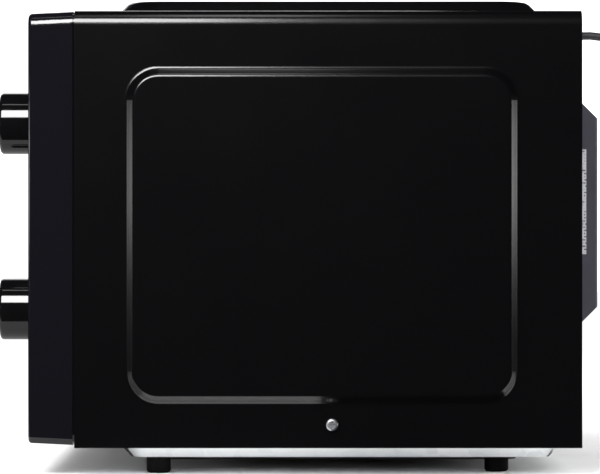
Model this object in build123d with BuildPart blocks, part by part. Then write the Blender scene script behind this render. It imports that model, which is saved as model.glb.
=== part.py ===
from build123d import *
import math
import os

# Compact microwave oven with two dials, a push-button side-hung door and a grill element.
# Row frame: +Z up, front facing -Y, +X on the right of someone facing the door.
# The origin is on the worktop under the middle of the oven.  Millimetres.

# ---------------------------------------------------------------- casing
case_width = 440.0          # across the flat sides of the cabinet
case_depth = 283.5          # cabinet, front edge to rear edge
case_top = 260.0            # top face above the worktop
case_bottom = 15.5          # lower edge of the cabinet above the worktop
case_bend = 8.0             # radius of the long top bends
sheet = 0.8                 # steel sheet of cabinet, plates and cavity
side_press = 4.0            # how far the pressed side panels stand out
side_press_length = 218.5
side_press_height = 187.0
side_press_start = 29.0     # from the cabinet's front edge to the foot of the side pressing
side_press_corner = 18.0
side_press_centre_z = 134.0
side_press_round = 3.0
top_press = 8.5             # how far the pressed top panel stands up
top_press_length = 246.5
top_press_corner = 26.0
top_press_margin = 42.0     # from the cabinet side to the foot of the top pressing
top_press_start = 19.0      # from the cabinet's front edge to the foot of the top pressing
top_press_round = 6.0
rear_flange = 8.0           # cabinet's inward return at the back

# ---------------------------------------------------------------- front
front_thickness = 25.0      # door and control panel
front_gap = 1.0             # behind the door and panel
front_draft = 2.5           # degrees of mould draft on the front mouldings
front_inset = 0.5           # moulding edge inside the cabinet side
front_foot = 1.5            # moulding's lower edge above the cabinet's lower edge
panel_width = 99.5
door_gap = 1.0              # between door and control panel
moulding_wall = 2.5
lip_inset = 1.6             # depth of the shadow gap between panel and cabinet
door_wall = 3.0
lower_bevel = 3.5           # bevel of the lower outer corners of the front
glass_margin = 15.5         # glass edge inside the door's edge
knob_diameter = 35.0
knob_proud = 19.2
shaft_sink = 6.4            # knob face to the end of its shaft
knob_gap = 0.5              # knob skirt to panel face
power_knob_z = 198.3
timer_knob_z = 92.1
shaft_diameter = 6.0
running = 0.06              # radial clearance of a shaft in its hole
button_width = 74.0
button_height = 22.0
button_z = 42.0
button_gap = 0.6
stem_offset = 29.75         # button stem to the left of the button's middle
latch_inset = 7.0           # latch bar inside the door's free edge

# ---------------------------------------------------------------- rear
cover_proud = 21.5          # rear cover beyond the cabinet's rear edge
cover_width = 225.0
cover_height = 137.0
cover_right = 75.0          # right-hand wall of the cover
cover_centre_z = 148.0
cover_chamfer = 12.0
cover_wall = 2.0

# ---------------------------------------------------------------- cavity and turntable
cavity_inset = 28.0         # cavity's left wall inside the cabinet side
cavity_width = 288.0
cavity_floor = 36.0
cavity_height = 194.0
cavity_depth = 272.0
cavity_corner = 10.0
tray_diameter = 245.0
tray_thickness = 4.0
tray_rim_height = 11.0
lamp_y = -52.0
lamp_z = 200.0
roller_count = 3
roller_radius = 7.2
roller_width = 8.0
roller_path = 96.0          # radius of the rollers' track
roller_clearance = 0.3      # to the cavity floor below and to the tray above

# ---------------------------------------------------------------- base and feet
pan_depth = 6.3             # first pressed step of the base
recess_depth = 4.0          # second pressed step
pan_margin_x = 15.0
foot_diameter = 13.6
foot_insets_x = (30.0, 41.0)     # front and rear feet inside the cabinet sides
foot_insets_y = (45.9, 45.6)     # front feet behind the front edge, rear feet before the rear edge

# ---------------------------------------------------------------- cord
cord_diameter = 4.6
cord_exit_x = 140.0
cord_exit_z = 250.0
coil_mean_radius = 27.5

# ---------------------------------------------------------------- planes worked out from the sizes above
total_depth = knob_proud + front_thickness + front_gap + case_depth + cover_proud
y_knob = -total_depth / 2
y_face = y_knob + knob_proud
y_front_back = y_face + front_thickness
y_case_front = y_front_back + front_gap
y_case_rear = y_case_front + case_depth
y_cover = y_case_rear + cover_proud
y_plate_back = y_case_front + sheet
y_back_outer = y_case_rear - sheet
y_back_inner = y_back_outer - sheet
x_side = case_width / 2
front_top = case_top - front_inset
front_bottom = case_bottom + front_foot
x_inner = x_side - sheet
z_inner = case_top - sheet
x_front = x_side - front_inset
x_panel_left = x_front - panel_width
x_door_right = x_panel_left - door_gap
x_door_left = -x_front
cavity_left = cavity_inset - x_side
cavity_right = cavity_left + cavity_width
cavity_top = cavity_floor + cavity_height
y_cavity_back = y_plate_back + cavity_depth
x_compartment = cavity_right + sheet
x_compartment_mid = (x_compartment + x_inner) / 2
z_base_top = case_bottom + sheet
z_pan = case_bottom - pan_depth
z_recess = z_pan - recess_depth
x_dial = (x_panel_left + x_front) / 2
slant_inset = sheet * (math.sqrt(2) - 1)   # a 45 degree wall of one sheet, seen in plan

os.makedirs("parts", exist_ok=True)


def facing_front(y):
    """Drawing plane at depth y, seen from the front: its x is X and its y is Z."""
    return Plane.XZ.offset(-y)


def side_plane(side, x):
    """Drawing plane on the right (1) or left (-1) of the oven at distance x, facing outwards."""
    return Plane(origin=(side * x, 0, 0), x_dir=(0, side, 0), z_dir=(side, 0, 0))


def downward(z):
    """Drawing plane at height z that faces down: its x is X and its y is -Y."""
    return Plane(origin=(0, 0, z), x_dir=(1, 0, 0), z_dir=(0, 0, -1))


def block(x0, x1, y0, y1, z0, z1, mode=Mode.ADD):
    """A box between two corners, for use inside a BuildPart."""
    with Locations(((x0 + x1) / 2, (y0 + y1) / 2, (z0 + z1) / 2)):
        Box(abs(x1 - x0), abs(y1 - y0), abs(z1 - z0), mode=mode)


def pressing(plane, centre, length, width, corner, depth, mode=Mode.ADD):
    """A rounded rectangle pressed out of a sheet with 45 degree flanks."""
    with BuildSketch(plane) as outline:
        with Locations(centre):
            RectangleRounded(length, width, corner)
    extrude(outline.sketch, amount=depth, taper=45, mode=mode)


def save(shape, name):
    shape.part.label = name
    export_step(shape.part, f"parts/{name}.step")


# ================================================================ cabinet
# One folded sheet: top and both sides, each with a pressed panel, and returns at the back.
case_mid_y = (y_case_front + y_case_rear) / 2
case_mid_z = (case_top + case_bottom) / 2
side_press_y = y_case_front + side_press_start + side_press_length / 2
top_press_y = y_case_front + top_press_start + top_press_length / 2
top_press_width = case_width - 2 * top_press_margin
gland_radius = 6.8
side_screw_y = y_case_front + 143.9
side_screw_z = 28.5
screw_clear = 4.4
with BuildPart() as cabinet:
    with Locations((0, case_mid_y, case_mid_z)):
        Box(case_width, case_depth, case_top - case_bottom)
    fillet(cabinet.edges().filter_by(Axis.Y).group_by(Axis.Z)[-1], case_bend)
    for side in (1, -1):
        pressing(side_plane(side, x_side), (side * side_press_y, side_press_centre_z),
                 side_press_length, side_press_height, side_press_corner, side_press)
        raised = cabinet.faces().filter_by(Axis.X).sort_by(Axis.X)[-1 if side > 0 else 0]
        wall = cabinet.faces().filter_by(Axis.X).filter_by_position(
            Axis.X, side * x_side - 0.01, side * x_side + 0.01).sort_by(SortBy.AREA)[-1]
        foot_loop = [edge for wire in wall.inner_wires() for edge in wire.edges()]
        fillet(raised.edges() + foot_loop, side_press_round)
    pressing(Plane.XY.offset(case_top), (0, top_press_y),
             top_press_width, top_press_length, top_press_corner, top_press)
    raised = cabinet.faces().filter_by(Axis.Z).sort_by(Axis.Z)[-1]
    wall = cabinet.faces().filter_by(Axis.Z).filter_by_position(
        Axis.Z, case_top - 0.01, case_top + 0.01).sort_by(SortBy.AREA)[-1]
    foot_loop = [edge for wire in wall.inner_wires() for edge in wire.edges()]
    fillet(raised.edges() + foot_loop, top_press_round)
    # the hollow: full width inside the sheet, open to the front and below
    with BuildPart(mode=Mode.PRIVATE) as hollow:
        block(-x_inner, x_inner, y_case_front - 1, y_back_outer, case_bottom - 1, z_inner)
        fillet(hollow.edges().filter_by(Axis.Y).group_by(Axis.Z)[-1], case_bend - sheet)
        for side in (1, -1):
            pressing(side_plane(side, x_inner), (side * side_press_y, side_press_centre_z),
                     side_press_length - 2 * slant_inset, side_press_height - 2 * slant_inset,
                     side_press_corner, side_press)
        pressing(Plane.XY.offset(z_inner), (0, top_press_y),
                 top_press_width - 2 * slant_inset, top_press_length - 2 * slant_inset,
                 top_press_corner, top_press)
        block(-x_inner + rear_flange, x_inner - rear_flange, y_back_outer, y_case_rear + 1,
              case_bottom - 1, z_inner - rear_flange)
    add(hollow.part, mode=Mode.SUBTRACT)
    for side in (1, -1):
        with Locations(Location(Plane(origin=(side * x_side, side_screw_y, side_screw_z),
                                      z_dir=(side, 0, 0)))):
            Hole(screw_clear / 2, depth=2 * sheet)
    # notch in the rear return for the cord gland
    block(cord_exit_x - gland_radius - 0.6, cord_exit_x + gland_radius + 0.6,
          y_back_outer - 0.05, y_case_rear + 1, cord_exit_z - 12, z_inner, mode=Mode.SUBTRACT)
save(cabinet, "cabinet")

# ================================================================ plates of the casing
# The front, back and base plates stand inside the cabinet and touch it.
hinge_reach = 7.5           # hinge axis to the door's end and to its back
hinge_x = x_door_left + hinge_reach
hinge_y = y_front_back - hinge_reach
arm_width = 8.0
arm_thickness = 2.0
upper_arm_z = front_top - 9.5        # underside of the upper hinge arm
lower_arm_z = front_bottom + 7.0     # underside of the lower hinge arm
pin_diameter = 4.0
pin_length = 10.0
slot_clear = 0.2
swing_clear = 0.1           # door's hinge edge inside the hinge radius
hook_x = x_door_right - latch_inset
hook_thickness = 3.0
hook_reach = 15.0           # hook behind the door's back face
hook_height = 9.0
hook_centres_z = (58.0, 200.0)
hook_drop = 4.0
bar_y = y_front_back - 9.0  # middle of the latch bar
bar_low = hook_centres_z[0] - 14.0
bar_high = hook_centres_z[1] + 16.0
spring_low = bar_low - 18.0
cavity_mid_x = cavity_left + cavity_width / 2
cavity_mid_z = cavity_floor + cavity_height / 2
tray_x = cavity_mid_x
tray_y = y_plate_back + cavity_depth / 2
stem_diameter = 8.0
stem_round = 3.2            # rounded end of the button's stem
stem_x = x_dial - stem_offset
knob_centres_z = (power_knob_z, timer_knob_z)
controls_window_width = 84.0
controls_window_height = 178.0
controls_window_z = 147.0
fan_x = x_compartment_mid
fan_z = 112.0
antenna_y = 40.0
antenna_z = 152.0
screw_head = 6.9

with BuildPart() as front_plate:
    block(-x_inner, x_inner, y_case_front, y_plate_back, case_bottom, z_inner)
    fillet(front_plate.edges().filter_by(Axis.Y).group_by(Axis.Z)[-1], case_bend - sheet)
    with BuildSketch(facing_front(y_plate_back + 1)):
        with Locations((cavity_mid_x, cavity_mid_z)):
            RectangleRounded(cavity_width, cavity_height, cavity_corner)
        with Locations((x_dial, controls_window_z)):
            RectangleRounded(controls_window_width, controls_window_height, 6)
        with Locations((stem_x, button_z)):
            Circle(stem_diameter / 2 + 2.5)
        for z in hook_centres_z:
            with Locations((hook_x + 0.6, z - hook_drop / 2)):
                RectangleRounded(hook_thickness + 3.2, hook_height + hook_drop + 4, 1)
        for z in (upper_arm_z, lower_arm_z):
            with Locations((hinge_x, z + arm_thickness / 2)):
                Rectangle(arm_width + 2 * slot_clear, arm_thickness + 2 * slot_clear)
    extrude(amount=3 * sheet, mode=Mode.SUBTRACT)
save(front_plate, "front_plate")

cover_mid_x = cover_right - cover_width / 2
cover_posts_x = (cover_right - cover_width + 12, cover_right - 12)
cover_posts_z = (cover_centre_z - 40, cover_centre_z + 40)
with BuildPart() as back_plate:
    block(-x_inner, x_inner, y_back_inner, y_back_outer, case_bottom, z_inner)
    fillet(back_plate.edges().filter_by(Axis.Y).group_by(Axis.Z)[-1], case_bend - sheet)
    with BuildSketch(facing_front(y_back_outer + 1)):
        with Locations((cord_exit_x, cord_exit_z)):
            Circle(gland_radius - 1.8)
        with Locations((fan_x, fan_z)):
            with GridLocations(14, 9, 7, 9):
                SlotOverall(11, 4)
        with Locations((cover_mid_x, cover_centre_z)):
            with GridLocations(15, 12, 11, 6):
                SlotOverall(10, 4.5)
    extrude(amount=3 * sheet, mode=Mode.SUBTRACT)
save(back_plate, "back_plate")

transformer_x = x_compartment_mid - 12.0
transformer_y = -38.0
capacitor_x = x_compartment_mid + 7.0
capacitor_y = 36.0
seat_z = z_pan + sheet      # upper face of the pan, where the heavy parts stand
pan_length = 249.0
pan_y = y_case_front + 24.3 + pan_length / 2
pan_width = case_width - 2 * pan_margin_x
recess_length = 213.0
recess_width = 322.0
recess_y = y_case_front + 41.5 + recess_length / 2
with BuildPart() as base_plate:
    block(-x_inner, x_inner, y_plate_back, y_back_inner, case_bottom, z_base_top)
    pressing(downward(case_bottom), (0, -pan_y), pan_width, pan_length, 14, pan_depth)
    pressing(downward(z_pan), (0, -recess_y), recess_width, recess_length, 12, recess_depth)
    with BuildPart(mode=Mode.PRIVATE) as pan_hollow:
        pressing(downward(z_base_top), (0, -pan_y), pan_width - 2 * slant_inset,
                 pan_length - 2 * slant_inset, 14, pan_depth)
        pressing(downward(z_pan + sheet), (0, -recess_y), recess_width - 2 * slant_inset,
                 recess_length - 2 * slant_inset, 12, recess_depth)
    add(pan_hollow.part, mode=Mode.SUBTRACT)
    with BuildSketch(Plane.XY.offset(z_recess - 1)):
        with Locations((tray_x, tray_y - 62), (tray_x, tray_y + 62)):
            with GridLocations(22, 9, 7, 3):
                SlotOverall(16, 4)
    extrude(amount=4, mode=Mode.SUBTRACT)
    # raised pads in the recess, level with the pan, under the transformer and the capacitor
    for x, y in ((transformer_x - 46, transformer_y - 26), (transformer_x - 46, transformer_y + 26),
                 (capacitor_x - 14, capacitor_y)):
        block(x - 6, x + 6, y - 6, y + 6, z_recess + sheet / 2, seat_z)
save(base_plate, "base_plate")

with BuildPart() as feet:
    for x, y in ((x_side - foot_insets_x[0], y_case_front + foot_insets_y[0]),
                 (x_side - foot_insets_x[1], y_case_rear - foot_insets_y[1])):
        for side in (1, -1):
            with Locations((side * x, y, z_pan / 2)):
                Cylinder(foot_diameter / 2, z_pan)
    fillet(feet.edges().group_by(Axis.Z)[0], 1.6)
save(feet, "feet")

# cross-recessed screws, one in each side of the cabinet
def cross_screw(head, shank, length):
    """A pan-head screw standing on the XY plane with its shank below."""
    with BuildPart(mode=Mode.PRIVATE) as screw:
        Cylinder(head / 2, 2.2, align=(Align.CENTER, Align.CENTER, Align.MIN))
        fillet(screw.edges().group_by(Axis.Z)[-1], 1.2)
        Cylinder(shank / 2, length, align=(Align.CENTER, Align.CENTER, Align.MAX))
        with Locations((0, 0, 2.2)):
            Box(head * 0.55, 0.9, 2.0, mode=Mode.SUBTRACT)
            Box(0.9, head * 0.55, 2.0, mode=Mode.SUBTRACT)
    return screw.part


with BuildPart() as cabinet_screws:
    for side in (1, -1):
        with Locations(Location(Plane(origin=(side * x_side, side_screw_y, side_screw_z),
                                      x_dir=(0, side, 0), z_dir=(side, 0, 0)))):
            add(cross_screw(screw_head, screw_clear - 0.8, 4.0))
save(cabinet_screws, "cabinet_screws")

# ================================================================ rear cover
# A shallow plastic housing over the outlet slots of the back plate.
with BuildPart() as rear_cover:
    block(cover_right - cover_width, cover_right, y_back_outer, y_cover,
          cover_centre_z - cover_height / 2, cover_centre_z + cover_height / 2)
    chamfer(rear_cover.faces().sort_by(Axis.Y)[-1].edges().filter_by(Axis.X), cover_chamfer)
    fillet(rear_cover.faces().sort_by(Axis.Y)[-1].edges().filter_by(Axis.Z), 1.5)
    with BuildPart(mode=Mode.PRIVATE) as cover_hollow:
        block(cover_right - cover_width + cover_wall, cover_right - cover_wall, y_back_outer - 1,
              y_cover - cover_wall, cover_centre_z - cover_height / 2 + cover_wall,
              cover_centre_z + cover_height / 2 - cover_wall)
        chamfer(cover_hollow.faces().sort_by(Axis.Y)[-1].edges().filter_by(Axis.X),
                cover_chamfer - 0.5)
    add(cover_hollow.part, mode=Mode.SUBTRACT)
    with BuildSketch(facing_front(y_cover + 1)):
        with Locations((cover_mid_x, cover_centre_z)):
            with GridLocations(46, 7, 4, 12):
                SlotOverall(38, 3)
    extrude(amount=cover_wall + 2, mode=Mode.SUBTRACT)
    with BuildSketch(downward(cover_centre_z + cover_height)):
        with Locations((cover_mid_x, -(y_back_outer + 5.2))):
            with GridLocations(12, 1, 15, 1):
                SlotOverall(5.5, 3, rotation=90)
    extrude(amount=2 * cover_height, mode=Mode.SUBTRACT)
    # screw posts, counterbored from outside
    for x in cover_posts_x:
        for z in cover_posts_z:
            with Locations(Location(Plane(origin=(x, y_back_outer, z), z_dir=(0, 1, 0)))):
                Cylinder(4.4, y_cover - cover_wall + 0.5 - y_back_outer,
                         align=(Align.CENTER, Align.CENTER, Align.MIN))
            with Locations(Location(Plane(origin=(x, y_cover, z), z_dir=(0, 1, 0)))):
                Cylinder(3.3, 2 * 2.4, mode=Mode.SUBTRACT)
                Cylinder(1.6, 60, mode=Mode.SUBTRACT)
save(rear_cover, "rear_cover")

label_height = 63.0
label_length = 14.3
label_foot_z = 123.0
with BuildPart() as rating_label:
    block(cover_right, cover_right + 0.25, y_case_rear + 0.4, y_case_rear + 0.4 + label_length,
          label_foot_z, label_foot_z + label_height)
save(rating_label, "rating_label")

# ================================================================ cooking cavity
# A welded steel box behind the front plate; the perforated ceiling lets the grill shine through.
shaft_hole = 10.0
window_length = 84.0        # opening from the waveguide into the cavity
window_height = 46.0
with BuildPart() as cavity:
    block(cavity_left - sheet, x_compartment, y_plate_back, y_cavity_back + sheet,
          cavity_floor - sheet, cavity_top + sheet)
    fillet(cavity.edges().filter_by(Axis.Y), cavity_corner + sheet)
    with BuildPart(mode=Mode.PRIVATE) as cavity_hollow:
        block(cavity_left, cavity_right, y_plate_back - 1, y_cavity_back, cavity_floor, cavity_top)
        fillet(cavity_hollow.edges().filter_by(Axis.Y), cavity_corner)
    add(cavity_hollow.part, mode=Mode.SUBTRACT)
    # drive hole in the floor
    with Locations((tray_x, tray_y, cavity_floor)):
        Cylinder(shaft_hole / 2, 4 * sheet, mode=Mode.SUBTRACT)
    # opening to the waveguide, lamp holes and air inlet in the right wall
    with BuildSketch(side_plane(1, cavity_right - 1)):
        with Locations((antenna_y, antenna_z)):
            RectangleRounded(window_length, window_height, 4)
        with Locations((lamp_y, lamp_z)):
            with GridLocations(6, 6, 7, 4):
                Circle(1.7)
        with Locations((-88, 172)):
            with GridLocations(6, 6, 5, 9):
                Circle(1.7)
    extrude(amount=4 * sheet, mode=Mode.SUBTRACT)
    # outlet holes in the back wall
    with BuildSketch(facing_front(y_cavity_back + 2)):
        with Locations((cavity_mid_x - 55, 196)):
            with GridLocations(6, 6, 13, 4):
                Circle(1.7)
    extrude(amount=5 * sheet, mode=Mode.SUBTRACT)
    # slots of the ceiling under the grill element
    with BuildSketch(Plane.XY.offset(cavity_top - 1)):
        with Locations((cavity_mid_x, tray_y)):
            with GridLocations(24, 8, 7, 13):
                SlotOverall(19, 4)
    extrude(amount=4 * sheet, mode=Mode.SUBTRACT)
save(cavity, "cavity")

guide_depth = 20.0
guide_half_length = 52.0
guide_half_height = 30.0
guide_flange = 8.0
with BuildPart() as waveguide:
    guide_front = antenna_y - guide_half_length
    guide_rear = antenna_y + guide_half_length
    guide_low = antenna_z - guide_half_height
    guide_high = antenna_z + guide_half_height
    block(x_compartment, x_compartment + guide_depth, guide_front, guide_rear, guide_low, guide_high)
    block(x_compartment - 1, x_compartment + guide_depth - sheet, guide_front + sheet,
          guide_rear - sheet, guide_low + sheet, guide_high - sheet, mode=Mode.SUBTRACT)
    block(x_compartment, x_compartment + sheet, guide_front - guide_flange, guide_rear + guide_flange,
          guide_low - guide_flange, guide_high + guide_flange)
    with BuildSketch(side_plane(1, x_compartment - 1)):
        with Locations((antenna_y, antenna_z)):
            RectangleRounded(window_length + 4, window_height + 4, 4)
    extrude(amount=2 + sheet, mode=Mode.SUBTRACT)
    with BuildSketch(side_plane(1, x_compartment + guide_depth - 2)):
        with Locations((antenna_y, antenna_z)):
            Circle(12)
    extrude(amount=4, mode=Mode.SUBTRACT)
save(waveguide, "waveguide")

with BuildPart() as waveguide_cover:
    with BuildSketch(side_plane(-1, -cavity_right)):
        with Locations((-antenna_y, antenna_z)):
            RectangleRounded(window_length + 16, window_height + 12, 5)
    extrude(amount=0.8)
save(waveguide_cover, "waveguide_cover")

with BuildPart() as magnetron:
    # cooling box with fins, antenna and filter box
    yoke_x = x_compartment + guide_depth
    for x in (yoke_x, yoke_x + 58):
        block(x, x + 1.2, antenna_y - 45, antenna_y + 45, antenna_z - 38, antenna_z + 38)
    for side in (1, -1):
        block(yoke_x, yoke_x + 59.2, antenna_y - 45, antenna_y + 45,
              antenna_z + side * 38 - 0.6, antenna_z + side * 38 + 0.6)
    with Locations(Location(Plane(origin=(yoke_x + 29.6, antenna_y, antenna_z), z_dir=(1, 0, 0)))):
        Cylinder(19, 59.2)
    for k in range(9):
        block(yoke_x + 12 + 4.4 * k, yoke_x + 12.6 + 4.4 * k, antenna_y - 40, antenna_y + 40,
              antenna_z - 38, antenna_z + 38)
    for x in (yoke_x + 5.6, yoke_x + 53.6):
        with Locations(Location(Plane(origin=(x, antenna_y, antenna_z), z_dir=(1, 0, 0)))):
            Cylinder(27, 8.8)
    with Locations(Location(Plane(origin=(yoke_x - 7, antenna_y, antenna_z), z_dir=(1, 0, 0)))):
        Cylinder(7.5, 14)
    block(yoke_x + 59.2, yoke_x + 84, antenna_y - 30, antenna_y + 24, antenna_z - 28, antenna_z + 28)
    fillet(magnetron.faces().sort_by(Axis.X)[-1].edges(), 2)
save(magnetron, "magnetron")

# ================================================================ turntable drive
with BuildPart() as turntable_motor:
    motor_top = cavity_floor - sheet
    with Locations((tray_x, tray_y, motor_top - 7.0)):
        Cylinder(24.5, 14)
    fillet(turntable_motor.edges().group_by(Axis.Z)[0], 1.5)
    block(tray_x - 33, tray_x + 33, tray_y - 6, tray_y + 6, motor_top - 1, motor_top)
    with Locations((tray_x - 30, tray_y, motor_top), (tray_x + 30, tray_y, motor_top)):
        Cylinder(1.8, 3, mode=Mode.SUBTRACT)
    block(tray_x - 12, tray_x + 12, tray_y + 22, tray_y + 34, motor_top - 12, motor_top - 3)
    with Locations((tray_x, tray_y, motor_top)):
        Cylinder(3.6 + running, 20, mode=Mode.SUBTRACT)
save(turntable_motor, "turntable_motor")

tray_foot_z = cavity_floor + 2 * roller_clearance + 2 * roller_radius
with BuildPart() as coupler:
    with Locations((tray_x, tray_y, motor_top - 9.5)):
        Cylinder(3.6, tray_foot_z - motor_top + 9.5, align=(Align.CENTER, Align.CENTER, Align.MIN))
    with Locations((tray_x, tray_y, cavity_floor + 2)):
        Cylinder(11, 5, align=(Align.CENTER, Align.CENTER, Align.MIN))
    for k in range(3):
        with Locations(Location((tray_x, tray_y, cavity_floor + 5), (0, 0, 120 * k + 60))):
            with Locations((8.5, 0, 0)):
                Box(17, 6, tray_foot_z - cavity_floor - 5, align=(Align.CENTER, Align.CENTER, Align.MIN))
save(coupler, "coupler")

with BuildPart() as glass_tray:
    with BuildSketch(Plane.XZ) as tray_profile:
        with BuildLine():
            radius = tray_diameter / 2
            Polyline((0, 0), (radius - 14, 0), (radius, tray_rim_height), (radius - 3.4, tray_rim_height),
                     (radius - 15.5, tray_thickness), (0, tray_thickness), (0, 0))
        make_face()
        fillet(tray_profile.vertices().group_by(Axis.Y)[-1], 0.8)
    revolve(axis=Axis.Z)
    for k in range(3):
        with Locations(Location((0, 0, 0), (0, 0, 120 * k))):
            with Locations((14, 0, 0)):
                Cylinder(2.6, 4.2, align=(Align.CENTER, Align.CENTER, Align.MAX))
glass_tray.part.position = (tray_x, tray_y, tray_foot_z)
save(glass_tray, "glass_tray")

hub_inner = 24.0
hub_outer = 29.0
ring_foot = cavity_floor + 4.4
ring_arm = 5.0
axle_radius = 1.9
roller_z = cavity_floor + roller_clearance + roller_radius
with BuildPart() as roller_ring:
    with Locations((tray_x, tray_y, ring_foot)):
        Cylinder(hub_outer, ring_arm, align=(Align.CENTER, Align.CENTER, Align.MIN))
        Cylinder(hub_inner, ring_arm, align=(Align.CENTER, Align.CENTER, Align.MIN), mode=Mode.SUBTRACT)
    for k in range(roller_count):
        with Locations(Location((tray_x, tray_y, 0), (0, 0, 120 * k + 90))):
            # arm, fork round the roller and the axle across the fork
            with Locations(((hub_outer + roller_path - 11) / 2 - 1, 0, ring_foot)):
                Box(roller_path - 11 - hub_outer + 2, 9, ring_arm,
                    align=(Align.CENTER, Align.CENTER, Align.MIN))
            for side in (1, -1):
                with Locations((roller_path - 2, side * 10.5, ring_foot)):
                    Box(20, 3, ring_arm, align=(Align.CENTER, Align.CENTER, Align.MIN))
            for x in (roller_path - 11, roller_path + 7):
                with Locations((x, 0, ring_foot)):
                    Box(4, 24, ring_arm, align=(Align.CENTER, Align.CENTER, Align.MIN))
            with Locations(Location((roller_path - 2, 0, roller_z), (0, 90, 0))):
                Cylinder(axle_radius, 18)
save(roller_ring, "roller_ring")

for k in range(roller_count):
    angle = math.radians(120 * k + 90)
    reach = roller_path - 2
    middle = Plane(origin=(tray_x + reach * math.cos(angle), tray_y + reach * math.sin(angle), roller_z),
                   z_dir=(math.cos(angle), math.sin(angle), 0))
    with BuildPart(middle) as roller:
        Cylinder(roller_radius, roller_width)
        fillet(roller.edges(), 0.9)
        Cylinder(axle_radius + running, roller_width, mode=Mode.SUBTRACT)
    save(roller, f"roller_{k + 1}")

# ================================================================ door
# Moulded frame, bonded outer glass, pressed choke frame with its perforated screen, inner film and cover.
door_width = x_door_right - x_door_left
front_height = front_top - front_bottom
glass_thickness = 3.2
glass_fit = 0.3             # glass smaller than its seat
ledge = 2.5                 # frame wall left behind the glass
choke_plane = y_face + glass_thickness + ledge
choke_left = x_door_left + 15.5
choke_right = x_door_right - 11.0
choke_bottom = front_bottom + 7.0
choke_top = front_top - 17.5
view_left = cavity_left + 20.0
view_right = cavity_right - 20.0
view_bottom = cavity_floor + 18.0
view_top = cavity_top - 18.0
glass_width = door_width - 2 * glass_margin
glass_height = front_height - 2 * glass_margin
glass_middle = ((x_door_left + x_door_right) / 2, (front_top + front_bottom) / 2)
view_middle = ((view_left + view_right) / 2, (view_bottom + view_top) / 2)
view_width = view_right - view_left
view_height = view_top - view_bottom
mid_front_y = y_front_back - front_thickness / 2
choke_back = y_front_back - 1.5
screen_lip = 4.0


def arc_relief(z0, z1):
    """The corner of the door that would foul the front plate, outside the hinge radius."""
    with BuildPart(mode=Mode.PRIVATE) as relief:
        block(hinge_x - hinge_reach - 1, hinge_x, hinge_y, y_front_back + 1, z0, z1)
        with Locations((hinge_x, hinge_y, (z0 + z1) / 2)):
            Cylinder(hinge_reach - swing_clear, z1 - z0 + 2, mode=Mode.SUBTRACT)
    return relief.part


with BuildPart() as door_frame:
    with BuildSketch(facing_front(y_front_back)):
        with Locations(((x_door_left + x_door_right) / 2, (front_top + front_bottom) / 2)):
            Rectangle(door_width, front_height)
    extrude(amount=front_thickness, taper=front_draft)
    corners = door_frame.edges().filter_by_position(Axis.Y, mid_front_y - 1, mid_front_y + 1)
    outer_corners = corners.group_by(Axis.X)[0].sort_by(Axis.Z)
    fillet(outer_corners[-1], case_bend - 0.6)
    chamfer(outer_corners[0], lower_bevel)
    fillet(door_frame.faces().sort_by(Axis.Y)[0].edges(), 2.2)
    add(arc_relief(front_bottom - 1, front_top + 1), mode=Mode.SUBTRACT)
    # hollow behind the ledge, with a solid stile at the hinge side
    block(choke_left - 1, x_door_right - door_wall, choke_plane, y_front_back + 1,
          front_bottom + 3.4, front_top - 3.4, mode=Mode.SUBTRACT)
    block(x_door_left + door_wall, choke_left, choke_plane, hinge_y - 1.5,
          front_bottom + 45, front_top - 45, mode=Mode.SUBTRACT)
    # seat for the glass and the opening behind it
    with BuildSketch(facing_front(y_face)):
        with Locations(glass_middle):
            RectangleRounded(glass_width, glass_height, 6)
    extrude(amount=-glass_thickness, mode=Mode.SUBTRACT)
    with BuildSketch(facing_front(choke_plane + 1)):
        with Locations(view_middle):
            RectangleRounded(view_width, view_height, 8)
    extrude(amount=front_thickness, mode=Mode.SUBTRACT)
    # ribs that carry the choke frame above and below
    for x in (view_left + 22.0, view_middle[0], view_right - 22.0):
        block(x - 1.2, x + 1.2, choke_plane, y_front_back - 3, front_bottom + 2, choke_bottom)
        block(x - 1.2, x + 1.2, choke_plane, y_front_back - 3, choke_top, front_top - 2)
    # shelf under the latch spring
    block(choke_right + 0.6, x_door_right - 2, choke_plane - 1, bar_y + 4, spring_low - 2.2, spring_low)
    # slots for the hinge arms and the pin holes
    for z in (upper_arm_z, lower_arm_z):
        block(x_door_left - 1, hinge_x + arm_width / 2 + 0.6, hinge_y - arm_width / 2 - 2.6,
              y_front_back + 1, z - 0.4, z + arm_thickness + 0.4, mode=Mode.SUBTRACT)
    for z in (upper_arm_z - pin_length - 0.5, lower_arm_z + arm_thickness - 0.5):
        with Locations((hinge_x, hinge_y, z)):
            Cylinder(pin_diameter / 2 + running, pin_length + 1,
                     align=(Align.CENTER, Align.CENTER, Align.MIN), mode=Mode.SUBTRACT)
save(door_frame, "door_frame")

with BuildPart() as door_glass:
    with BuildSketch(facing_front(y_face + glass_thickness)):
        with Locations(glass_middle):
            RectangleRounded(glass_width - glass_fit, glass_height - glass_fit, 6 - glass_fit / 2)
    extrude(amount=glass_thickness - glass_fit)
    chamfer(door_glass.faces().sort_by(Axis.Y)[0].edges(), 0.4)
save(door_glass, "door_glass")

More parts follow.
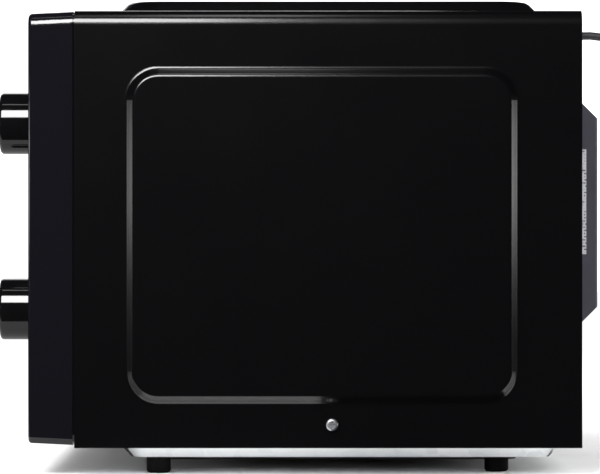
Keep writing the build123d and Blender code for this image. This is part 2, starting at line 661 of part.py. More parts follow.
with BuildPart() as door_choke:
    block(choke_left, choke_right, choke_plane, choke_back, choke_bottom, choke_top)
    block(choke_left + sheet, choke_right - sheet, choke_plane + sheet, choke_back + 1,
          choke_bottom + sheet, choke_top - sheet, mode=Mode.SUBTRACT)
    # inner wall round the window
    block(view_left - sheet, view_right + sheet, choke_plane, choke_back,
          view_bottom - sheet, view_top + sheet)
    block(view_left, view_right, choke_plane + sheet, choke_back + 1,
          view_bottom, view_top, mode=Mode.SUBTRACT)
    block(view_left + screen_lip, view_right - screen_lip, choke_plane - 1, choke_back + 1,
          view_bottom + screen_lip, view_top - screen_lip, mode=Mode.SUBTRACT)
    # comb of the choke: slots cut in the outer wall's rear edge
    with BuildSketch(Plane.XY.offset(choke_bottom - 1)):
        with Locations(((choke_left + choke_right) / 2, choke_back)):
            with GridLocations(22, 1, 13, 1):
                Rectangle(2.4, 17)
    extrude(amount=choke_top - choke_bottom + 2, mode=Mode.SUBTRACT)
    block(view_left - sheet, view_right + sheet, choke_back - 10, choke_back, view_top, view_top + sheet)
    block(view_left - sheet, view_right + sheet, choke_back - 10, choke_back,
          view_bottom - sheet, view_bottom)
save(door_choke, "door_choke")

with BuildPart() as door_screen:
    block(view_left + 0.05, view_right - 0.05, choke_plane + sheet, choke_plane + 2 * sheet,
          view_bottom + 0.05, view_top - 0.05)
save(door_screen, "door_screen")

with BuildPart() as inner_window:
    with BuildSketch(facing_front(choke_back + 0.5)):
        with Locations(view_middle):
            RectangleRounded(view_width + 8, view_height + 8, 4)
    extrude(amount=0.5)
save(inner_window, "inner_window")

with BuildPart() as choke_cover:
    with BuildSketch(facing_front(y_front_back - 0.2)):
        with Locations(((choke_left + x_door_right - door_wall - 0.3) / 2, (choke_bottom + choke_top) / 2)):
            RectangleRounded(x_door_right - door_wall - 0.3 - choke_left, choke_top - choke_bottom, 3)
        with Locations(view_middle):
            RectangleRounded(view_width + 8.4, view_height + 8.4, 4.2, mode=Mode.SUBTRACT)
        for z in hook_centres_z:
            with Locations((hook_x, z - hook_drop / 2 - 0.5)):
                Rectangle(hook_thickness + 1.2, hook_height + hook_drop + 1.2, mode=Mode.SUBTRACT)
    extrude(amount=1.3)
save(choke_cover, "choke_cover")

# the latch bar slides down in the channel beside the choke frame to release
with BuildPart() as latch_hook:
    block(hook_x - 2, hook_x + 2, bar_y - 4, bar_y + 4, bar_low, bar_high)
    for z in hook_centres_z:
        with BuildSketch(side_plane(1, hook_x - hook_thickness / 2)):
            with BuildLine():
                tip = y_front_back + hook_reach
                Polyline((bar_y, z - 4.5), (tip - 3, z - 4.5), (tip, z - 1.5), (tip - 6, z + 3.5),
                         (tip - 6, z + 1), (bar_y, z + 2.5), (bar_y, z - 4.5))
            make_face()
        extrude(amount=hook_thickness)
save(latch_hook, "latch_hook")

with BuildPart() as latch_spring:
    with BuildLine() as coil_line:
        Helix(pitch=3.2, height=15.4, radius=2.6, center=(hook_x, bar_y, spring_low + 1.2))
    with BuildSketch(Plane(origin=coil_line.line @ 0, z_dir=coil_line.line % 0)):
        Circle(0.45)
    sweep()
save(latch_spring, "latch_spring")

# ================================================================ hinges
for name, arm_z, way in (("upper_hinge", upper_arm_z, -1), ("lower_hinge", lower_arm_z, 1)):
    with BuildPart() as hinge:
        near = arm_z if way < 0 else arm_z + arm_thickness
        block(hinge_x - arm_width / 2, hinge_x + arm_width / 2, hinge_y, y_plate_back + 2,
              arm_z, arm_z + arm_thickness)
        with Locations((hinge_x, hinge_y, arm_z + arm_thickness / 2)):
            Cylinder(arm_width / 2, arm_thickness)
        with Locations((hinge_x, hinge_y, near + way * pin_length / 2)):
            Cylinder(pin_diameter / 2, pin_length)
        # tab riveted behind the front plate
        block(hinge_x - 5, hinge_x + 14, y_plate_back, y_plate_back + 2, near, near + way * 18)
        with Locations((hinge_x + 1, y_plate_back + 2.6, near + way * 12),
                       (hinge_x + 9.5, y_plate_back + 2.6, near + way * 12)):
            Cylinder(2.2, 1.2, rotation=(90, 0, 0))
    save(hinge, name)

# ================================================================ control panel and controls
panel_mid_x = (x_panel_left + x_front) / 2
with BuildPart() as control_panel:
    with BuildSketch(facing_front(y_front_back)):
        with Locations((panel_mid_x, (front_top + front_bottom) / 2)):
            Rectangle(panel_width, front_height)
    extrude(amount=front_thickness, taper=front_draft)
    corners = control_panel.edges().filter_by_position(Axis.Y, mid_front_y - 1, mid_front_y + 1)
    outer_corners = corners.group_by(Axis.X)[-1].sort_by(Axis.Z)
    fillet(outer_corners[-1], case_bend - 0.6)
    chamfer(outer_corners[0], lower_bevel)
    fillet(control_panel.faces().sort_by(Axis.Y)[0].edges(), 2.2)
    with BuildPart(mode=Mode.PRIVATE) as panel_hollow:
        block(x_panel_left + 3.4, x_front - 3.4, y_face + moulding_wall, y_front_back + 1,
              front_bottom + 3.4, front_top - 3.4)
        fillet(panel_hollow.edges().filter_by(Axis.Y).group_by(Axis.X)[-1], 4.6)
    add(panel_hollow.part, mode=Mode.SUBTRACT)
    # lip set in from the outside that closes the gap to the front plate
    with BuildSketch(facing_front(y_case_front)):
        with Locations((panel_mid_x, (front_top + front_bottom) / 2)):
            RectangleRounded(panel_width - 2 * lip_inset, front_height - 2 * lip_inset, 5)
            RectangleRounded(panel_width - 2 * lip_inset - 3.6, front_height - 2 * lip_inset - 3.6, 3.2,
                             mode=Mode.SUBTRACT)
    extrude(amount=front_gap + 3)
    # posts that carry the panel on the front plate
    for x in (x_panel_left + 8, x_front - 8):
        for z in (front_bottom + 8.5, front_top - 10):
            with Locations(Location(Plane(origin=(x, y_face + moulding_wall - 0.5, z), z_dir=(0, 1, 0)))):
                Cylinder(3.6, y_case_front - y_face - moulding_wall + 0.5,
                         align=(Align.CENTER, Align.CENTER, Align.MIN))
    # shaft holes with a shallow dished seat for each knob, and the button opening
    for z in knob_centres_z:
        with Locations(Location(Plane(origin=(x_dial, y_face, z), z_dir=(0, -1, 0)))):
            Cylinder(knob_diameter / 2 + 2.5, 0.7, align=(Align.CENTER, Align.CENTER, Align.MAX),
                     mode=Mode.SUBTRACT)
            Cylinder(5.0, 20, mode=Mode.SUBTRACT)
    with BuildSketch(facing_front(y_face + moulding_wall + 2)):
        with Locations((x_dial, button_z)):
            RectangleRounded(button_width + 2 * button_gap, button_height + 2 * button_gap, 5 + button_gap)
    extrude(amount=moulding_wall + 4, mode=Mode.SUBTRACT)
save(control_panel, "control_panel")

# the power selector and the timer are alike outside: a boss on the panel and a case behind it
shaft_inner_y = y_face + 20.0
for name, z in (("power_selector", power_knob_z), ("timer", timer_knob_z)):
    depth = 26.0 if name == "power_selector" else 35.0
    with BuildPart() as case:
        block(x_dial - 28, x_dial + 28, y_face + 8.5, y_face + 8.5 + depth, z - 24, z + 24)
        fillet(case.edges().filter_by(Axis.Y), 4)
        with Locations(Location(Plane(origin=(x_dial, y_face + moulding_wall, z), z_dir=(0, 1, 0)))):
            Cylinder(9, 8, align=(Align.CENTER, Align.CENTER, Align.MIN))
        with Locations(Location(Plane(origin=(x_dial, y_face, z), z_dir=(0, 1, 0)))):
            Cylinder(shaft_diameter / 2 + running, shaft_inner_y - y_face + 0.5,
                     align=(Align.CENTER, Align.CENTER, Align.MIN), mode=Mode.SUBTRACT)
        # terminals and mounting ears
        for k in range(4):
            block(x_dial - 19.5 + 12 * k, x_dial - 16.5 + 12 * k, y_face + 8.5 + depth, y_face + 16.5 + depth,
                  z - 14, z - 7.5)
        for side in (1, -1):
            block(x_dial + side * 28, x_dial + side * 34, y_face + 8.5, y_face + 10.5, z - 8, z + 8)
            with Locations(Location(Plane(origin=(x_dial + side * 31, y_face + 9.5, z), z_dir=(0, 1, 0)))):
                Cylinder(1.7, 4, mode=Mode.SUBTRACT)
    save(case, name)

shaft_flat = 1.0
bore_depth = 12.0
shaft_end_y = y_knob + shaft_sink
fit = 0.02                  # knob bore on its shaft
for name, z in (("power", power_knob_z), ("timer", timer_knob_z)):
    with BuildPart() as shaft:
        with Locations(Location(Plane(origin=(x_dial, shaft_inner_y, z), z_dir=(0, -1, 0)))):
            Cylinder(shaft_diameter / 2, shaft_inner_y - shaft_end_y,
                     align=(Align.CENTER, Align.CENTER, Align.MIN))
        block(x_dial - 4, x_dial + 4, shaft_end_y - 1, shaft_end_y + bore_depth - 1,
              z + shaft_diameter / 2 - shaft_flat, z + 5, mode=Mode.SUBTRACT)
        chamfer(shaft.faces().sort_by(Axis.Y)[0].edges(), 0.3)
    save(shaft, f"{name}_shaft")

    with BuildPart() as knob:
        rear_y = y_face - knob_gap
        with Locations(Location(Plane(origin=(x_dial, rear_y, z), z_dir=(0, -1, 0)))):
            Cylinder(knob_diameter / 2, rear_y - y_knob, align=(Align.CENTER, Align.CENTER, Align.MIN))
        fillet(knob.faces().sort_by(Axis.Y)[0].edges(), 1.9)
        with Locations(Location(Plane(origin=(x_dial, rear_y, z), z_dir=(0, -1, 0)))):
            Cylinder(knob_diameter / 2 - 2.2, 15.5, align=(Align.CENTER, Align.CENTER, Align.MIN),
                     mode=Mode.SUBTRACT)
            Cylinder(5.6, 15.5, align=(Align.CENTER, Align.CENTER, Align.MIN))
        for angle in (0, 60, 120):
            with Locations(Location(Plane(origin=(x_dial, rear_y - 9.5, z), x_dir=(
                    math.cos(math.radians(angle)), 0, math.sin(math.radians(angle))), z_dir=(0, -1, 0)))):
                Box(knob_diameter - 3.2, 1.4, 12.4)
        # D-shaped bore for the shaft
        with BuildPart(mode=Mode.PRIVATE) as bore:
            with Locations(Location(Plane(origin=(x_dial, rear_y + 1, z), z_dir=(0, -1, 0)))):
                Cylinder(shaft_diameter / 2 + fit, rear_y + 1 - shaft_end_y + 0.1,
                         align=(Align.CENTER, Align.CENTER, Align.MIN))
            block(x_dial - 4, x_dial + 4, shaft_end_y - 1, shaft_end_y + bore_depth - 2,
                  z + shaft_diameter / 2 - shaft_flat + fit, z + 5, mode=Mode.SUBTRACT)
        add(bore.part, mode=Mode.SUBTRACT)
        # pointer groove on the face
        block(x_dial - 0.9, x_dial + 0.9, y_knob - 1, y_knob + 0.7, z + 4.5, z + knob_diameter / 2 - 1.0,
              mode=Mode.SUBTRACT)
    save(knob, f"{name}_knob")

pivot_y = y_front_back + 28.5
pivot_z = 63.0
pivot_radius = 2.0
lever_front_y = pivot_y - 2.0
with BuildPart() as door_button:
    button_face = y_face - 0.2
    with BuildSketch(facing_front(y_face + 8)):
        with Locations((x_dial, button_z)):
            RectangleRounded(button_width, button_height, 5)
    extrude(amount=y_face + 8 - button_face)
    fillet(door_button.faces().sort_by(Axis.Y)[0].edges(), 1.2)
    # shallow finger dish
    with Locations(Location(Plane(origin=(x_dial, button_face - 118.6, button_z), z_dir=(0, 0, 1)))):
        Cylinder(120, button_height - 7, mode=Mode.SUBTRACT)
    # flange that keeps the button in the panel, hollow back and stem
    with BuildSketch(facing_front(y_face + 8)):
        with Locations((x_dial, button_z)):
            RectangleRounded(button_width + 5, button_height + 5, 6)
    extrude(amount=8 - moulding_wall - 0.4)
    block(x_dial - button_width / 2 + 2.5, x_dial + button_width / 2 - 2.5, y_face + 4, y_face + 9,
          button_z - button_height / 2 + 2.5, button_z + button_height / 2 - 2.5, mode=Mode.SUBTRACT)
    with Locations(Location(Plane(origin=(stem_x, y_face + 3.5, button_z), z_dir=(0, 1, 0)))):
        Cylinder(stem_diameter / 2, lever_front_y - 0.5 - y_face - 3.5,
                 align=(Align.CENTER, Align.CENTER, Align.MIN))
    fillet(door_button.faces().sort_by(Axis.Y)[-1].edges(), stem_round)
save(door_button, "door_button")

# ================================================================ latch
board_left = hook_x - 13.0
board_right = hook_x + 11.0
board_back = y_plate_back + 33.0
with BuildPart() as latch_board:
    block(board_left, board_right, y_plate_back, y_plate_back + 2.5, 40, 222)
    block(board_left, board_left + 2, y_plate_back, board_back, 46, 216)
    block(board_right - 2, board_right, y_plate_back, board_back, 46, 216)
    for z in (46, 96, 140, 214):
        block(board_left, board_right, y_plate_back, board_back, z, z + 2)
    fillet(latch_board.edges().filter_by(Axis.X).group_by(Axis.Y)[-1], 0.8)
    for z in hook_centres_z:
        block(hook_x - hook_thickness / 2 - 1.2, hook_x + hook_thickness / 2 + 2.4, y_plate_back - 1,
              y_plate_back + 3, z - 10, z + 6, mode=Mode.SUBTRACT)
        # catch above the hook's nose
        block(board_left, board_right, y_front_back + 4.6, y_front_back + 8.2, z + 4.1, z + 8.5)
    # the shaft of the release lever runs through both walls
    with Locations(Location(Plane(origin=(board_left, pivot_y, pivot_z), z_dir=(1, 0, 0)))):
        Cylinder(pivot_radius + running, 80, mode=Mode.SUBTRACT)
save(latch_board, "latch_board")

with BuildPart() as release_lever:
    with Locations(Location(Plane(origin=(board_left - 0.5, pivot_y, pivot_z), z_dir=(1, 0, 0)))):
        Cylinder(pivot_radius, stem_x + 6 - board_left, align=(Align.CENTER, Align.CENTER, Align.MIN))
    block(stem_x - 4, stem_x + 4, lever_front_y, lever_front_y + 4, button_z - 6, pivot_z)
    block(hook_x - 2.5, hook_x + 2.5, pivot_y - 18, pivot_y, pivot_z - 1, pivot_z + 2)
save(release_lever, "release_lever")

with BuildPart() as lever_spring:
    with BuildLine() as lever_line:
        Helix(pitch=1.5, height=9.0, radius=3.2, center=(board_right + 0.9, pivot_y, pivot_z),
              direction=(1, 0, 0))
    with BuildSketch(Plane(origin=lever_line.line @ 0, z_dir=lever_line.line % 0)):
        Circle(0.4)
    sweep()
save(lever_spring, "lever_spring")

with BuildPart() as microswitches:
    for z in (112.0, 152.0, 186.0):
        block(board_right, board_right + 6.4, y_plate_back + 6, y_plate_back + 26, z - 5.2, z + 5.2)
        for k in range(3):
            tab_y = y_plate_back + 8 + 7.5 * k
            block(board_right + 2.8, board_right + 3.6, tab_y, tab_y + 3.2, z - 10.5, z - 5.2)
        with Locations((board_right + 3.2, y_plate_back + 19, z + 5.2)):
            Cylinder(1.2, 1.6, align=(Align.CENTER, Align.CENTER, Align.MIN))
save(microswitches, "microswitches")

# ================================================================ compartment
with BuildPart() as transformer:
    foot = seat_z
    # laminated core on a foot plate, with two windings that stand proud of it
    block(transformer_x - 46, transformer_x + 46, transformer_y - 24, transformer_y + 24,
          foot + 2, foot + 74)
    block(transformer_x - 51, transformer_x + 51, transformer_y - 32, transformer_y + 32,
          foot, foot + 2)
    for x in (transformer_x - 24, transformer_x + 24):
        block(x - 15, x + 15, transformer_y - 38, transformer_y + 38, foot + 14, foot + 62)
    for end in (0, -1):
        fillet(transformer.faces().sort_by(Axis.Y)[end].edges(), 4)
    for k in range(3):
        tab_x = transformer_x - 30 + 12 * k
        block(tab_x, tab_x + 6, transformer_y + 6, transformer_y + 14, foot + 74, foot + 82)
    for x in (transformer_x - 48.5, transformer_x + 48.5):
        for y in (transformer_y - 26, transformer_y + 26):
            with Locations((x, y, foot)):
                Cylinder(1.6, 10, mode=Mode.SUBTRACT)
save(transformer, "transformer")

can_height = 84.0
with BuildPart() as capacitor:
    with BuildSketch(Plane.XY.offset(seat_z)):
        with Locations((capacitor_x, capacitor_y)):
            SlotOverall(54, 34)
    extrude(amount=can_height)
    fillet(capacitor.edges().group_by(Axis.Z)[-1], 2)
    for x in (capacitor_x - 10, capacitor_x + 10):
        with Locations((x, capacitor_y, seat_z + can_height)):
            Cylinder(3.4, 4, align=(Align.CENTER, Align.CENTER, Align.MIN))
        block(x - 3, x + 3, capacitor_y - 0.4, capacitor_y + 0.4,
              seat_z + can_height, seat_z + can_height + 10)
save(capacitor, "capacitor")

fan_front = y_back_inner - 42.0
with BuildPart() as air_duct:
    # square shroud round the fan, seated on the back plate
    block(fan_x - 56, fan_x + 56, fan_front, y_back_inner, fan_z - 56, fan_z + 56)
    block(fan_x - 54, fan_x + 54, fan_front + 2, y_back_inner + 1, fan_z - 54, fan_z + 54,
          mode=Mode.SUBTRACT)
    with Locations(Location(Plane(origin=(fan_x, fan_front, fan_z), z_dir=(0, 1, 0)))):
        Cylinder(50, 10, mode=Mode.SUBTRACT)
    fillet(air_duct.edges().filter_by(Axis.Y).group_by(Axis.X)[0], 3)
save(air_duct, "air_duct")

with BuildPart() as fan_motor:
    block(fan_x - 30, fan_x + 30, fan_front - 20, fan_front - 2, fan_z - 25, fan_z + 25)
    with Locations(Location(Plane(origin=(fan_x, fan_front - 11, fan_z + 4), z_dir=(0, 1, 0)))):
        Cylinder(15, 18.2, mode=Mode.SUBTRACT)
        Cylinder(14, 18.0)
    block(fan_x - 15, fan_x + 15, fan_front - 24, fan_front + 1, fan_z - 24, fan_z - 12)
    for side in (1, -1):
        block(fan_x + side * 29, fan_x + side * 54, fan_front - 1.2, fan_front, fan_z - 5, fan_z + 5)
        block(fan_x + side * 28.8, fan_x + side * 30, fan_front - 16, fan_front, fan_z - 5, fan_z + 5)
    block(fan_x - 30, fan_x + 30, fan_front - 2.4, fan_front - 1.2, fan_z - 5, fan_z + 5)
    with Locations(Location(Plane(origin=(fan_x, fan_front, fan_z), z_dir=(0, 1, 0)))):
        Cylinder(5, 6)
        Cylinder(1.6 + running, 70, mode=Mode.SUBTRACT)
save(fan_motor, "fan_motor")

blade_count = 5
with BuildPart() as fan_blade:
    hub_y = fan_front + 18
    with Locations(Location(Plane(origin=(fan_x, fan_front - 12, fan_z), z_dir=(0, 1, 0)))):
        Cylinder(1.6, hub_y + 6 - fan_front + 12, align=(Align.CENTER, Align.CENTER, Align.MIN))
    with Locations(Location(Plane(origin=(fan_x, hub_y, fan_z), z_dir=(0, 1, 0)))):
        Cylinder(12, 14)
    for k in range(blade_count):
        with Locations(Location(Plane(origin=(fan_x, hub_y, fan_z), z_dir=(0, 1, 0)))):
            with Locations(Location((0, 0, 0), (0, 0, 360 / blade_count * k))):
                with Locations(Location((28, 0, 0), (28, 0, 0))):
                    Box(36, 25, 1.4)
save(fan_blade, "fan_blade")

with BuildPart() as lamp_socket:
    block(x_compartment, x_compartment + 1, lamp_y - 30, lamp_y + 30, lamp_z - 21, lamp_z + 21)
    block(x_compartment - 1, x_compartment + 2, lamp_y - 19, lamp_y + 19, lamp_z - 13, lamp_z + 13,
          mode=Mode.SUBTRACT)
    for side in (1, -1):
        block(x_compartment, x_compartment + 30, lamp_y + side * 20, lamp_y + side * 21,
              lamp_z - 13, lamp_z + 13)
    block(x_compartment + 29, x_compartment + 30, lamp_y - 21, lamp_y + 21, lamp_z - 13, lamp_z + 13)
    with Locations(Location(Plane(origin=(x_compartment + 30, lamp_y, lamp_z), z_dir=(1, 0, 0)))):
        Cylinder(9, 12, align=(Align.CENTER, Align.CENTER, Align.MIN))
save(lamp_socket, "lamp_socket")

with BuildPart() as cavity_lamp:
    bulb_start = x_compartment + 6.5
    with BuildSketch(Plane(origin=(0, lamp_y, lamp_z), x_dir=(1, 0, 0), z_dir=(0, 0, 1))):
        with BuildLine():
            Polyline((x_compartment + 29, 0), (bulb_start, 0))
            Spline((bulb_start, 0), (bulb_start + 9, 9.5), (x_compartment + 22, 6.5),
                   tangents=((0, 1), (1, 0)))
            Polyline((x_compartment + 22, 6.5), (x_compartment + 29, 6.5), (x_compartment + 29, 0))
        make_face()
    revolve(axis=Axis((0, lamp_y, lamp_z), (1, 0, 0)))
save(cavity_lamp, "cavity_lamp")

with BuildPart() as thermal_cutout:
    cut_z = antenna_z + 38.6
    with Locations((yoke_x + 30, antenna_y, cut_z)):
        Cylinder(8, 7, align=(Align.CENTER, Align.CENTER, Align.MIN))
    block(yoke_x + 18, yoke_x + 42, antenna_y - 6, antenna_y + 6, cut_z, cut_z + 0.8)
    for x in (yoke_x + 26, yoke_x + 34):
        block(x - 0.4, x + 0.4, antenna_y - 3, antenna_y + 3, cut_z + 7, cut_z + 14)
save(thermal_cutout, "thermal_cutout")

board_y = y_back_inner - 8.0
filter_x = x_inner - 37.2   # middle of the filter board
with BuildPart() as filter_board:
    block(filter_x - 31, filter_x + 31, board_y, board_y + 1.6, 176, 240)
    for x in (filter_x - 27, filter_x + 27):
        for z in (180, 236):
            with Locations(Location(Plane(origin=(x, board_y + 1, z), z_dir=(0, 1, 0)))):
                Cylinder(2.4, y_back_inner - board_y - 1, align=(Align.CENTER, Align.CENTER, Align.MIN))
    with Locations(Location(Plane(origin=(filter_x - 10, board_y, 222), z_dir=(0, -1, 0)))):
        Cylinder(11, 9, align=(Align.CENTER, Align.CENTER, Align.MIN))
        Cylinder(5, 9, align=(Align.CENTER, Align.CENTER, Align.MIN), mode=Mode.SUBTRACT)
    block(filter_x + 7, filter_x + 25, board_y - 14, board_y, 212, 230)
    block(filter_x - 22, filter_x + 2, board_y - 10, board_y, 184, 192)
    with Locations((filter_x + 16, board_y - 4.5, 192)):
        Cylinder(3.2, 22)
    for z in (182, 202):
        block(filter_x + 13, filter_x + 19, board_y - 6, board_y, z - 1.5, z + 1.5)
save(filter_board, "filter_board")

# ================================================================ grill element above the perforated ceiling
housing_width = 184.0
housing_length = 124.0
housing_height = 20.0
housing_foot = cavity_top + sheet
with BuildPart() as heater_housing:
    block(cavity_mid_x - housing_width / 2 - 9, cavity_mid_x + housing_width / 2 + 9,
          tray_y - housing_length / 2 - 9, tray_y + housing_length / 2 + 9,
          housing_foot, housing_foot + sheet)
    with BuildSketch(Plane.XY.offset(housing_foot)):
        with Locations((cavity_mid_x, tray_y)):
            RectangleRounded(housing_width, housing_length, 6)
    extrude(amount=housing_height)
    with BuildSketch(Plane.XY.offset(housing_foot - 1)):
        with Locations((cavity_mid_x, tray_y)):
            RectangleRounded(housing_width - 2 * sheet, housing_length - 2 * sheet, 5.2)
    extrude(amount=housing_height + 1 - sheet, mode=Mode.SUBTRACT)
    for y in (tray_y - 32, tray_y + 32):
        with Locations(Location(Plane(origin=(cavity_mid_x + housing_width / 2, y, housing_foot + 10),
                                      z_dir=(1, 0, 0)))):
            Cylinder(4.2, 8, mode=Mode.SUBTRACT)
save(heater_housing, "heater_housing")

element_z = housing_foot + 10
element_end = cavity_mid_x + housing_width / 2 + 16
with BuildPart() as grill_heater:
    with BuildLine() as element_line:
        FilletPolyline((element_end, tray_y - 32, element_z), (cavity_mid_x - 70, tray_y - 32, element_z),
                       (cavity_mid_x - 70, tray_y + 32, element_z), (element_end, tray_y + 32, element_z),
                       radius=28)
    with BuildSketch(Plane(origin=element_line.line @ 0, z_dir=element_line.line % 0)):
        Circle(3.25)
    sweep()
    for y in (tray_y - 32, tray_y + 32):
        # ceramic bush in the housing wall and a screw terminal
        with Locations(Location(Plane(origin=(cavity_mid_x + housing_width / 2, y, element_z),
                                      z_dir=(1, 0, 0)))):
            Cylinder(4.1, 8)
            Cylinder(6.5, 4, align=(Align.CENTER, Align.CENTER, Align.MIN))
        with Locations(Location(Plane(origin=(element_end, y, element_z), z_dir=(1, 0, 0)))):
            Cylinder(1.9, 8, align=(Align.CENTER, Align.CENTER, Align.MIN))
save(grill_heater, "grill_heater")

# ================================================================ mains lead
cord_radius = cord_diameter / 2
cord_fit = 0.05
with BuildPart() as cord_gland:
    with Locations(Location(Plane(origin=(cord_exit_x, y_back_outer, cord_exit_z), z_dir=(0, 1, 0)))):
        Cylinder(gland_radius, 2.0, align=(Align.CENTER, Align.CENTER, Align.MIN))
        Cylinder(gland_radius - 1.85, 4.0, align=(Align.CENTER, Align.CENTER, Align.MAX))
        Cone(4.8, 3.3, 6.0, align=(Align.CENTER, Align.CENTER, Align.MIN))
    with Locations(Location(Plane(origin=(cord_exit_x, y_back_inner, cord_exit_z), z_dir=(0, -1, 0)))):
        Cone(6.2, 5.0, 3.2, align=(Align.CENTER, Align.CENTER, Align.MIN))
    with Locations(Location(Plane(origin=(cord_exit_x, y_back_outer, cord_exit_z), z_dir=(0, 1, 0)))):
        Cylinder(cord_radius + cord_fit, 40, mode=Mode.SUBTRACT)
save(cord_gland, "cord_gland")

# Route: straight out of the back, down behind the oven and along the worktop into the coil.
coil_x = 60.0
coil_y = 236.0
coil_height = 12.0
floor_z = cord_radius + 0.2
lane_y = coil_y - coil_mean_radius
stub_end_x = coil_x + 21.8
route = [
    Vector(cord_exit_x, y_case_rear - 6, cord_exit_z),
    Vector(cord_exit_x, y_case_rear + 51, cord_exit_z),
    Vector(cord_exit_x + 2, lane_y + 1.0, 188),
    Vector(cord_exit_x - 1, lane_y - 2.0, 126),
    Vector(cord_exit_x + 2, lane_y + 1.5, 64),
    Vector(cord_exit_x - 1, lane_y, floor_z),
    Vector(stub_end_x, lane_y, floor_z),
]
cord_radii = []
for k in range(1, len(route) - 1):
    back = route[k - 1] - route[k]
    ahead = route[k + 1] - route[k]
    turn = math.pi - math.radians(back.get_angle(ahead))
    cord_radii.append(0.45 * min(back.length, ahead.length) / math.tan(turn / 2))
print("cord radii", [round(r, 1) for r in cord_radii])
with BuildPart() as power_cord:
    with BuildLine() as cord_line:
        FilletPolyline(*route, radius=cord_radii)
    with BuildSketch(Plane(origin=cord_line.line @ 0, z_dir=cord_line.line % 0)):
        Circle(cord_radius)
    sweep()
cord_length = sum(edge.length for edge in cord_line.edges())
print("cord length", round(cord_length, 1), "volume over section times length",
      round(power_cord.part.volume / (math.pi * cord_radius ** 2 * cord_length), 4))
save(power_cord, "power_cord")

plug_z = 9.5
tail_start_x = coil_x + 24.0
with BuildPart() as cord_coil:
    with Locations((coil_x, coil_y, coil_height / 2)):
        Cylinder(coil_mean_radius + 5.5, coil_height)
        Cylinder(coil_mean_radius - 5.5, coil_height, mode=Mode.SUBTRACT)
    fillet(cord_coil.edges().group_by(Axis.Z)[-1] + cord_coil.edges().group_by(Axis.Z)[0], 2.3)
    with Locations(Location(Plane(origin=(coil_x + 8, lane_y, floor_z), z_dir=(1, 0, 0)))):
        Cylinder(cord_radius, stub_end_x - coil_x - 8, align=(Align.CENTER, Align.CENTER, Align.MIN))
    with Locations(Location(Plane(origin=(coil_x + 8, coil_y + coil_mean_radius, plug_z), z_dir=(1, 0, 0)))):
        Cylinder(cord_radius, tail_start_x - coil_x - 8, align=(Align.CENTER, Align.CENTER, Align.MIN))
save(cord_coil, "cord_coil")

with BuildPart() as plug:
    plug_y = coil_y + coil_mean_radius
    with Locations(Location(Plane(origin=(tail_start_x, plug_y, plug_z), z_dir=(1, 0, 0)))):
        Cone(3.2, 5.2, 20, align=(Align.CENTER, Align.CENTER, Align.MIN))
    with BuildSketch(Plane(origin=(tail_start_x + 18, plug_y, plug_z), x_dir=(0, 1, 0), z_dir=(1, 0, 0))):
        RectangleRounded(15, 15, 4)
    with BuildSketch(Plane(origin=(tail_start_x + 34, plug_y, plug_z), x_dir=(0, 1, 0), z_dir=(1, 0, 0))):
        RectangleRounded(25, 19, 5)
    loft()
    with BuildSketch(Plane(origin=(tail_start_x + 34, plug_y, plug_z), x_dir=(0, 1, 0), z_dir=(1, 0, 0))):
        RectangleRounded(25, 19, 5)
    extrude(amount=14)
    face_x = tail_start_x + 48
    for side in (1, -1):
        block(face_x - 1, face_x + 17, plug_y + side * 6.35 - 0.75, plug_y + side * 6.35 + 0.75,
              plug_z - 1 - 3.2, plug_z - 1 + 3.2)
    with Locations(Location(Plane(origin=(face_x - 1, plug_y, plug_z + 6.2), z_dir=(1, 0, 0)))):
        Cylinder(2.4, 21, align=(Align.CENTER, Align.CENTER, Align.MIN))
save(plug, "plug")

# screws of the rear cover, sunk in its posts
with BuildPart() as cover_screws:
    for x in cover_posts_x:
        for z in cover_posts_z:
            with Locations(Location(Plane(origin=(x, y_cover - 2.4, z), x_dir=(1, 0, 0), z_dir=(0, 1, 0)))):
                Cylinder(2.9, 1.5, align=(Align.CENTER, Align.CENTER, Align.MIN))
                Cylinder(1.5, 14, align=(Align.CENTER, Align.CENTER, Align.MAX))
            with Locations((x, y_cover - 0.9, z)):
                Box(3.4, 1.6, 0.8, mode=Mode.SUBTRACT)
                Box(0.8, 1.6, 3.4, mode=Mode.SUBTRACT)
save(cover_screws, "cover_screws")
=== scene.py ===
import math
import bpy
import numpy as np
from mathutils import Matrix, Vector


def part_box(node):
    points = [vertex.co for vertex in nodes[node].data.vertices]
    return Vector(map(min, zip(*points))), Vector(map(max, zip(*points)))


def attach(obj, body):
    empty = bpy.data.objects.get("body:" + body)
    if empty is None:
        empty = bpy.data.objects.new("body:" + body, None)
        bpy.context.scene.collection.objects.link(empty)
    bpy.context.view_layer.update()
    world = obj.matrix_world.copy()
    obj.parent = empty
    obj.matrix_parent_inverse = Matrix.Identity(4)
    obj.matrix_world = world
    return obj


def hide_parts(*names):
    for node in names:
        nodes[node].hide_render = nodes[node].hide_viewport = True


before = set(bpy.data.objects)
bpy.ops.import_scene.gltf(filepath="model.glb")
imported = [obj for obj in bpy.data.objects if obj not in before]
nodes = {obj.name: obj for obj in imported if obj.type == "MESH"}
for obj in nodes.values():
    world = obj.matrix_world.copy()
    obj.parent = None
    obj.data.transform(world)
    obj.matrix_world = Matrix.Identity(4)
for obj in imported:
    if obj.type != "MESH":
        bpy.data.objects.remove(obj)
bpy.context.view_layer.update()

# Compact microwave oven with two dials: finishes, printed marks, perforated screen, tray and mains lead
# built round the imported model. Metres, +Z up, front towards -Y.

mm = 0.001
print("stage: frame loaded,", len(nodes), "parts")


# lowest and highest corner of a part as two arrays
def cornersOf(name):
    low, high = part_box(name)
    return np.array(low), np.array(high)


# camera and lead come first

# a level view square to the right-hand side
cameraSettings = {"distance": 1.85, "across": 0.3347, "height": 0.1333, "along": -0.0039, "sensor": 36.0,
                  "panelDepth": 4 * mm}


